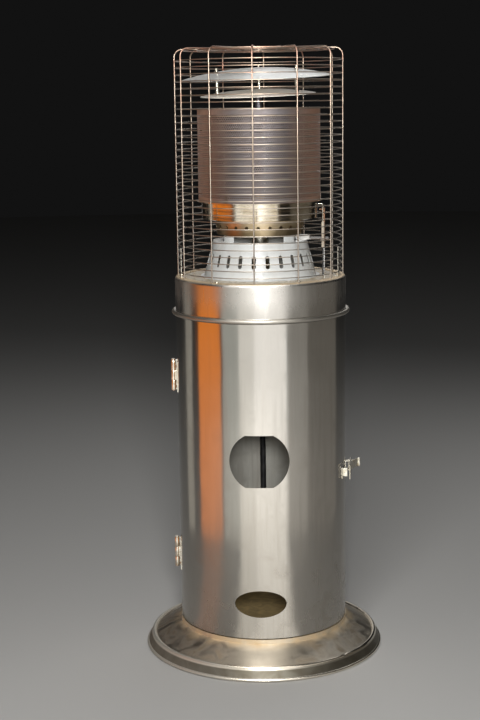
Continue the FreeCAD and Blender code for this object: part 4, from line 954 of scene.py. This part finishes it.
lean = (Matrix.Translation((0, 0, LEAN_LEVEL)) @ Matrix.Rotation(LEAN_BACK, 4, "X")
        @ Matrix.Rotation(LEAN_ASIDE, 4, "Y"))
post_places = [lean @ round_about(b) @ Matrix.Translation((0, -POST_CIRCLE, 0)) for b in POST_BEARINGS]

bolt = start("bolt", bpy.ops.mesh.primitive_uv_sphere_add, segments=24, ring_count=12, radius=BOLT_HEAD,
             location=(0, 0, HEAD_TOP))
edit(bolt)
bpy.ops.mesh.bisect(plane_co=(0, 0, HEAD_TOP), plane_no=(0, 0, -1), use_fill=True, clear_inner=True)
select_all()
scale(1, 1, HEAD_SHARE, (0, 0, HEAD_TOP))
stack(BOLT_RADIUS, HEAD_TOP, NUT_FOOT + BOLT_TIP, 20)
done(bolt)
finish_piece(copies(bolt, "disc_bolts", post_places), "housing", "zinc", "reflector_bolts")
bpy.data.objects.remove(bolt)

nut = upright("nut", NUT_RADIUS, NUT_FOOT + WASHER_RISE, NUT_FOOT + WASHER_RISE + NUT_RISE, 6)
edit(nut)
bpy.ops.mesh.bevel(offset=NUT_ROUND, segments=2)
stack(WASHER_RADIUS, NUT_FOOT, NUT_FOOT + WASHER_RISE, 32)
done(nut)
finish_piece(copies(nut, "disc_nuts", post_places), "housing", "zinc", "reflector_nuts")
bpy.data.objects.remove(nut)
print("disc bolts:", len(post_places))

# %% [markdown]
# The emitter's sheet is folded over a thin wire at its head and its foot, which stiffens it. The fold is a
# slim ring, made once as a torus and copied up.

# %% Emitter rims
RIM_WIRE = 0.0009

emitter_rims = start(
    "emitter_rims", bpy.ops.mesh.primitive_torus_add, major_radius=EMITTER_RADIUS, minor_radius=RIM_WIRE,
    major_segments=120, minor_segments=10, location=(0, 0, emitter_low + RIM_WIRE))
edit(emitter_rims)
bpy.ops.mesh.duplicate()
bpy.ops.transform.translate(value=(0, 0, emitter_tall - 2 * RIM_WIRE))
done(emitter_rims)
finish_piece(emitter_rims, "housing", "emitter_steel")
print("emitter rims:", len(emitter_rims.data.polygons), "faces")

# %% [markdown]
# The control knob at the back is a moulding with a round foot and a fluted grip. A cylinder's top is inset
# and drawn up, every third strip of the side is inset to make a flute, and the sharp rims are rounded. A
# raised rib shows where it points.

# %% Control knob
KNOB_FOOT, KNOB_STEP, KNOB_TOP, KNOB_RADIUS = 0.006, 0.012, 0.030, 0.021
GRIP_INSET, GRIP_SHARE, KNOB_ROUND = 0.0045, 0.9, 0.0012
FLUTES, FLUTE_EDGE, FLUTE_DEPTH = 16, 0.0004, 0.0011
RIB_SIZE, RIB_OUT = (0.0024, 0.011, 0.0016), 0.0085
KNOB_BEARING, KNOB_LEVEL = 180, 0.857
NEAR = 0.0002


def is_flute(face):
    """Every third strip of the grip's side."""
    middle = face.calc_center_median()
    strip = int((math.atan2(middle.y, middle.x) / math.tau + 1) * 3 * FLUTES)
    return abs(face.normal.z) < 0.3 and middle.z > KNOB_STEP + 5 * NEAR and strip % 3 == 0


def on_rim(vert):
    """On the rim of the grip's head or of the knob's foot."""
    outer = vert.co.xy.length > KNOB_RADIUS - 5 * NEAR
    return vert.co.z > KNOB_TOP - NEAR or abs(vert.co.z - KNOB_STEP) < NEAR and outer


def is_sharp_rim(edge):
    sharp = len(edge.link_faces) == 2 and edge.calc_face_angle(0) > 1.2
    return sharp and all(on_rim(v) for v in edge.verts)


knob = upright("moulded_knob", KNOB_RADIUS, KNOB_FOOT, KNOB_STEP, 3 * FLUTES)
edit(knob)
pick(knob, lambda f: f.normal.z > 0.9, "faces")
bpy.ops.mesh.inset(thickness=GRIP_INSET)
bpy.ops.mesh.extrude_region_move(TRANSFORM_OT_translate={"value": (0, 0, KNOB_TOP - KNOB_STEP)})
scale(GRIP_SHARE, GRIP_SHARE, 1)
pick(knob, is_flute, "faces")
bpy.ops.mesh.inset(thickness=FLUTE_EDGE, depth=-FLUTE_DEPTH, use_individual=True)
pick(knob, is_sharp_rim, "edges")
bpy.ops.mesh.bevel(offset=KNOB_ROUND, segments=3)
bpy.ops.mesh.primitive_cube_add(size=1, location=(0, RIB_OUT, KNOB_TOP), scale=RIB_SIZE)
done(knob)
knob.data.transform(on_wall(KNOB_BEARING, COLLAR_OUT, KNOB_LEVEL))
finish_piece(knob, "knob", "black_plastic", "control_knob")
print("knob:", len(knob.data.polygons), "faces")

# %% [markdown]
# The regulator hangs on the end of the hose. It is a die-cast drum with a screwed-on cover, a hose tail above
# and the bottle fitting below. The drum is modelled with its axis up and then turned to face the front: a
# cylinder with a rounded back, a flange, the heads of six cover screws, and a hexagon at the tail's root.

# %% Regulator drum
REG_AT = Vector((-0.003, 0.167, 0.255))
REG_HALF, DRUM_RADIUS, DRUM_ROUND = 0.011, 0.031, 0.005
FLANGE_RADIUS, FLANGE_BACK, FLANGE_ROUND = 0.034, 0.005, 0.0012
COVER_SCREWS, COVER_FIRST, COVER_CIRCLE = 6, 30, 0.0308
COVER_HEAD, COVER_RISE = 0.0026, 0.0014
HEX_RADIUS, HEX_LOW, HEX_HIGH = 0.0095, 0.2885, 0.2965
TAIL_PIPE, TAIL_END, NECK_LOW, NECK_HIGH = 0.006, 0.309, 0.180, 0.225
NOSE_RADIUS, NOSE_LOW, NOSE_HIGH = 0.008, 0.1716, 0.1806
facing_front = Matrix.Translation(REG_AT) @ UP_TO_FRONT


def round_rim(piece, level, radius, width, steps=3):
    """Rounds the edge that lies at this level and this far from the piece's axis."""
    def on_circle(vert):
        return abs(vert.co.z - level) < 1e-5 and abs(vert.co.xy.length - radius) < 1e-4

    pick(piece, lambda e: all(on_circle(v) for v in e.verts), "edges")
    bpy.ops.mesh.bevel(offset=width, segments=steps)


drum = upright("regulator_drum", DRUM_RADIUS, -REG_HALF, REG_HALF, 64)
edit(drum)
round_rim(drum, -REG_HALF, DRUM_RADIUS, DRUM_ROUND)
stack(FLANGE_RADIUS, FLANGE_BACK, REG_HALF)
round_rim(drum, FLANGE_BACK, FLANGE_RADIUS, FLANGE_ROUND)
round_rim(drum, REG_HALF, FLANGE_RADIUS, FLANGE_ROUND)
for i in range(COVER_SCREWS):
    turn = math.radians(COVER_FIRST + i * 360 / COVER_SCREWS)
    spot = (COVER_CIRCLE * math.cos(turn), COVER_CIRCLE * math.sin(turn))
    stack(COVER_HEAD, REG_HALF, REG_HALF + COVER_RISE, 16, spot)
done(drum)
drum.data.transform(facing_front)
edit(drum)
stack(HEX_RADIUS, HEX_LOW, HEX_HIGH, 6, REG_AT.xy)
stack(TAIL_PIPE, HEX_HIGH, TAIL_END, 24, REG_AT.xy)
stack(TAIL_PIPE, NECK_LOW, NECK_HIGH, 24, REG_AT.xy)
stack(NOSE_RADIUS, NOSE_LOW, NOSE_HIGH, 24, REG_AT.xy)
done(drum)
finish_piece(drum, "housing", "regulator_grey", "regulator")
print("regulator drum:", len(drum.data.polygons), "faces")

# %% [markdown]
# The regulator's cover is domed by a wide bevel of its front edge. A ring is pressed into it by two insets,
# one that goes down and one that comes up again.

# %% Regulator cover
COVER_RADIUS, COVER_TOP, COVER_DOME = 0.028, 0.021, 0.006
RING_INSET, RING_SLOPE, RING_DEPTH = 0.004, 0.0015, 0.0008

cover = upright("regulator_cover", COVER_RADIUS, REG_HALF, COVER_TOP, 64)
edit(cover)
round_rim(cover, COVER_TOP, COVER_RADIUS, COVER_DOME, 5)
pick(cover, lambda f: f.normal.z > 0.99, "faces")
bpy.ops.mesh.inset(thickness=RING_INSET)
for depth in (-RING_DEPTH, RING_DEPTH):
    bpy.ops.mesh.inset(thickness=RING_SLOPE, depth=depth)
done(cover)
cover.data.transform(facing_front)
finish_piece(cover, "housing", "regulator_grey", "regulator_bonnet")
print("regulator cover:", len(cover.data.polygons), "faces")

# %% [markdown]
# The hand wheel screws the regulator to a bottle. Its rim has six finger hollows, made by drawing in the
# points near each hollow in three steps, each narrower than the one before. Its nose has the thread, whose
# turns are rings on a core.

# %% Hand wheel
WHEEL_AT = (-0.003, 0.167, 0.181)
WHEEL_RADIUS, WHEEL_LOW, WHEEL_HIGH, WHEEL_ROUND = 0.022, 0.020, 0.036, 0.0018
HOLLOWS, HOLLOW_FROM = 6, 0.012
HOLLOW_STEPS = ((0.35, 0.97), (0.7, 0.95), (0.93, 0.97))
THREAD_CORE, THREAD_RADIUS, THREAD_TURNS = 0.0104, 0.0008, 10
THREAD_FIRST, THREAD_PITCH, CORE_OVERLAP = 0.0015, 0.0018, 0.001


def in_hollow(vert, nearness):
    near = math.cos(HOLLOWS * math.atan2(vert.co.y, vert.co.x)) > nearness
    return near and vert.co.xy.length > HOLLOW_FROM


wheel = upright("moulded_hand_wheel", WHEEL_RADIUS, WHEEL_LOW, WHEEL_HIGH, 90)
edit(wheel)
for level in (WHEEL_LOW, WHEEL_HIGH):
    round_rim(wheel, level, WHEEL_RADIUS, WHEEL_ROUND)
for nearness, share in HOLLOW_STEPS:
    pick(wheel, lambda v: in_hollow(v, nearness))
    scale(share, share, 1)
stack(THREAD_CORE, 0.0, WHEEL_LOW + CORE_OVERLAP, 40)
for i in range(THREAD_TURNS):
    bpy.ops.mesh.primitive_torus_add(
        major_radius=THREAD_CORE, minor_radius=THREAD_RADIUS, major_segments=40, minor_segments=6,
        location=(0, 0, THREAD_FIRST + i * THREAD_PITCH))
done(wheel)
wheel.data.transform(Matrix.Translation(WHEEL_AT))
finish_piece(wheel, "wheel", "black_plastic", "hand_wheel")
print("hand wheel:", len(wheel.data.polygons), "faces")

# %% [markdown]
# The hose is held by crimped ferrules. Each is a short tube with two grooves where the crimping jaws closed
# on it. The tube is cut at both edges and in the middle of each groove, and the middle is drawn in.

# %% Ferrules
FERRULE_OUT, FERRULE_WALL, FERRULE_LONG = 0.0083, 0.0007, 0.024
GROOVES, GROOVE_HALF, GROOVE_SHARE = (0.0075, 0.0165), 0.0015, 0.94
FERRULES_AT = ((0, 0.165, 0.792), (REG_AT.x, REG_AT.y, TAIL_END))

ferrule = upright("ferrule", FERRULE_OUT, 0, FERRULE_LONG, 40, end_fill_type="NOTHING")
edit(ferrule)
for groove in GROOVES:
    for cut in (groove - GROOVE_HALF, groove, groove + GROOVE_HALF):
        select_all()
        bpy.ops.mesh.bisect(plane_co=(0, 0, cut), plane_no=(0, 0, 1))
pick(ferrule, lambda v: min(abs(v.co.z - groove) for groove in GROOVES) < 1e-4)
scale(GROOVE_SHARE, GROOVE_SHARE, 1)
done(ferrule)
use(ferrule, "SOLIDIFY", thickness=FERRULE_WALL, offset=-1)
smooth(ferrule)
ferrules = copies(ferrule, "crimped_ferrules", [Matrix.Translation(place) for place in FERRULES_AT])
finish_piece(ferrules, "housing", "brass", "hose_ferrules")
bpy.data.objects.remove(ferrule)
print("ferrules:", len(FERRULES_AT))

# %% [markdown]
# Now that the pieces on the hose's end are made, their names are printed.

# %% The hose and what hangs on it
print("on the hose:", ferrules.name, drum.name, cover.name, wheel.name)

# %% [markdown]
# Pressed and bent sheet has no knife edges. The small brackets, hinge leaves and latch parts keep their
# solids, and a narrow bevel softens their edges so that they catch a line of light. Cast and turned pieces
# get a wider one. The solids' triangles are loose, so a weld joins them first.

# %% Soft edges
SOFT_EDGES = {
    0.0003: ("hinge_frame_leaves", "hinge_door_leaves", "latch_base", "latch_lever", "latch_keeper",
             "valve_bracket", "pilot_bracket", "guard_brackets", "emitter_clips", "burner_standoffs"),
    0.0008: ("gas_valve", "tilt_switch", "push_igniter", "igniter_button", "hose_nipple", "injector_nut"),
}
JOIN_WITHIN = 0.00001
SHARP_FROM = math.radians(40)

for width, names in SOFT_EDGES.items():
    for name in names:
        weld = solids[name].modifiers.new("weld", "WELD")
        weld.merge_threshold = JOIN_WITHIN
        soften = solids[name].modifiers.new("soften", "BEVEL")
        soften.width = width
        soften.segments = 2
        soften.limit_method = "ANGLE"
        soften.angle_limit = SHARP_FROM
        soften.use_clamp_overlap = True
print("softened:", sum(len(names) for names in SOFT_EDGES.values()))
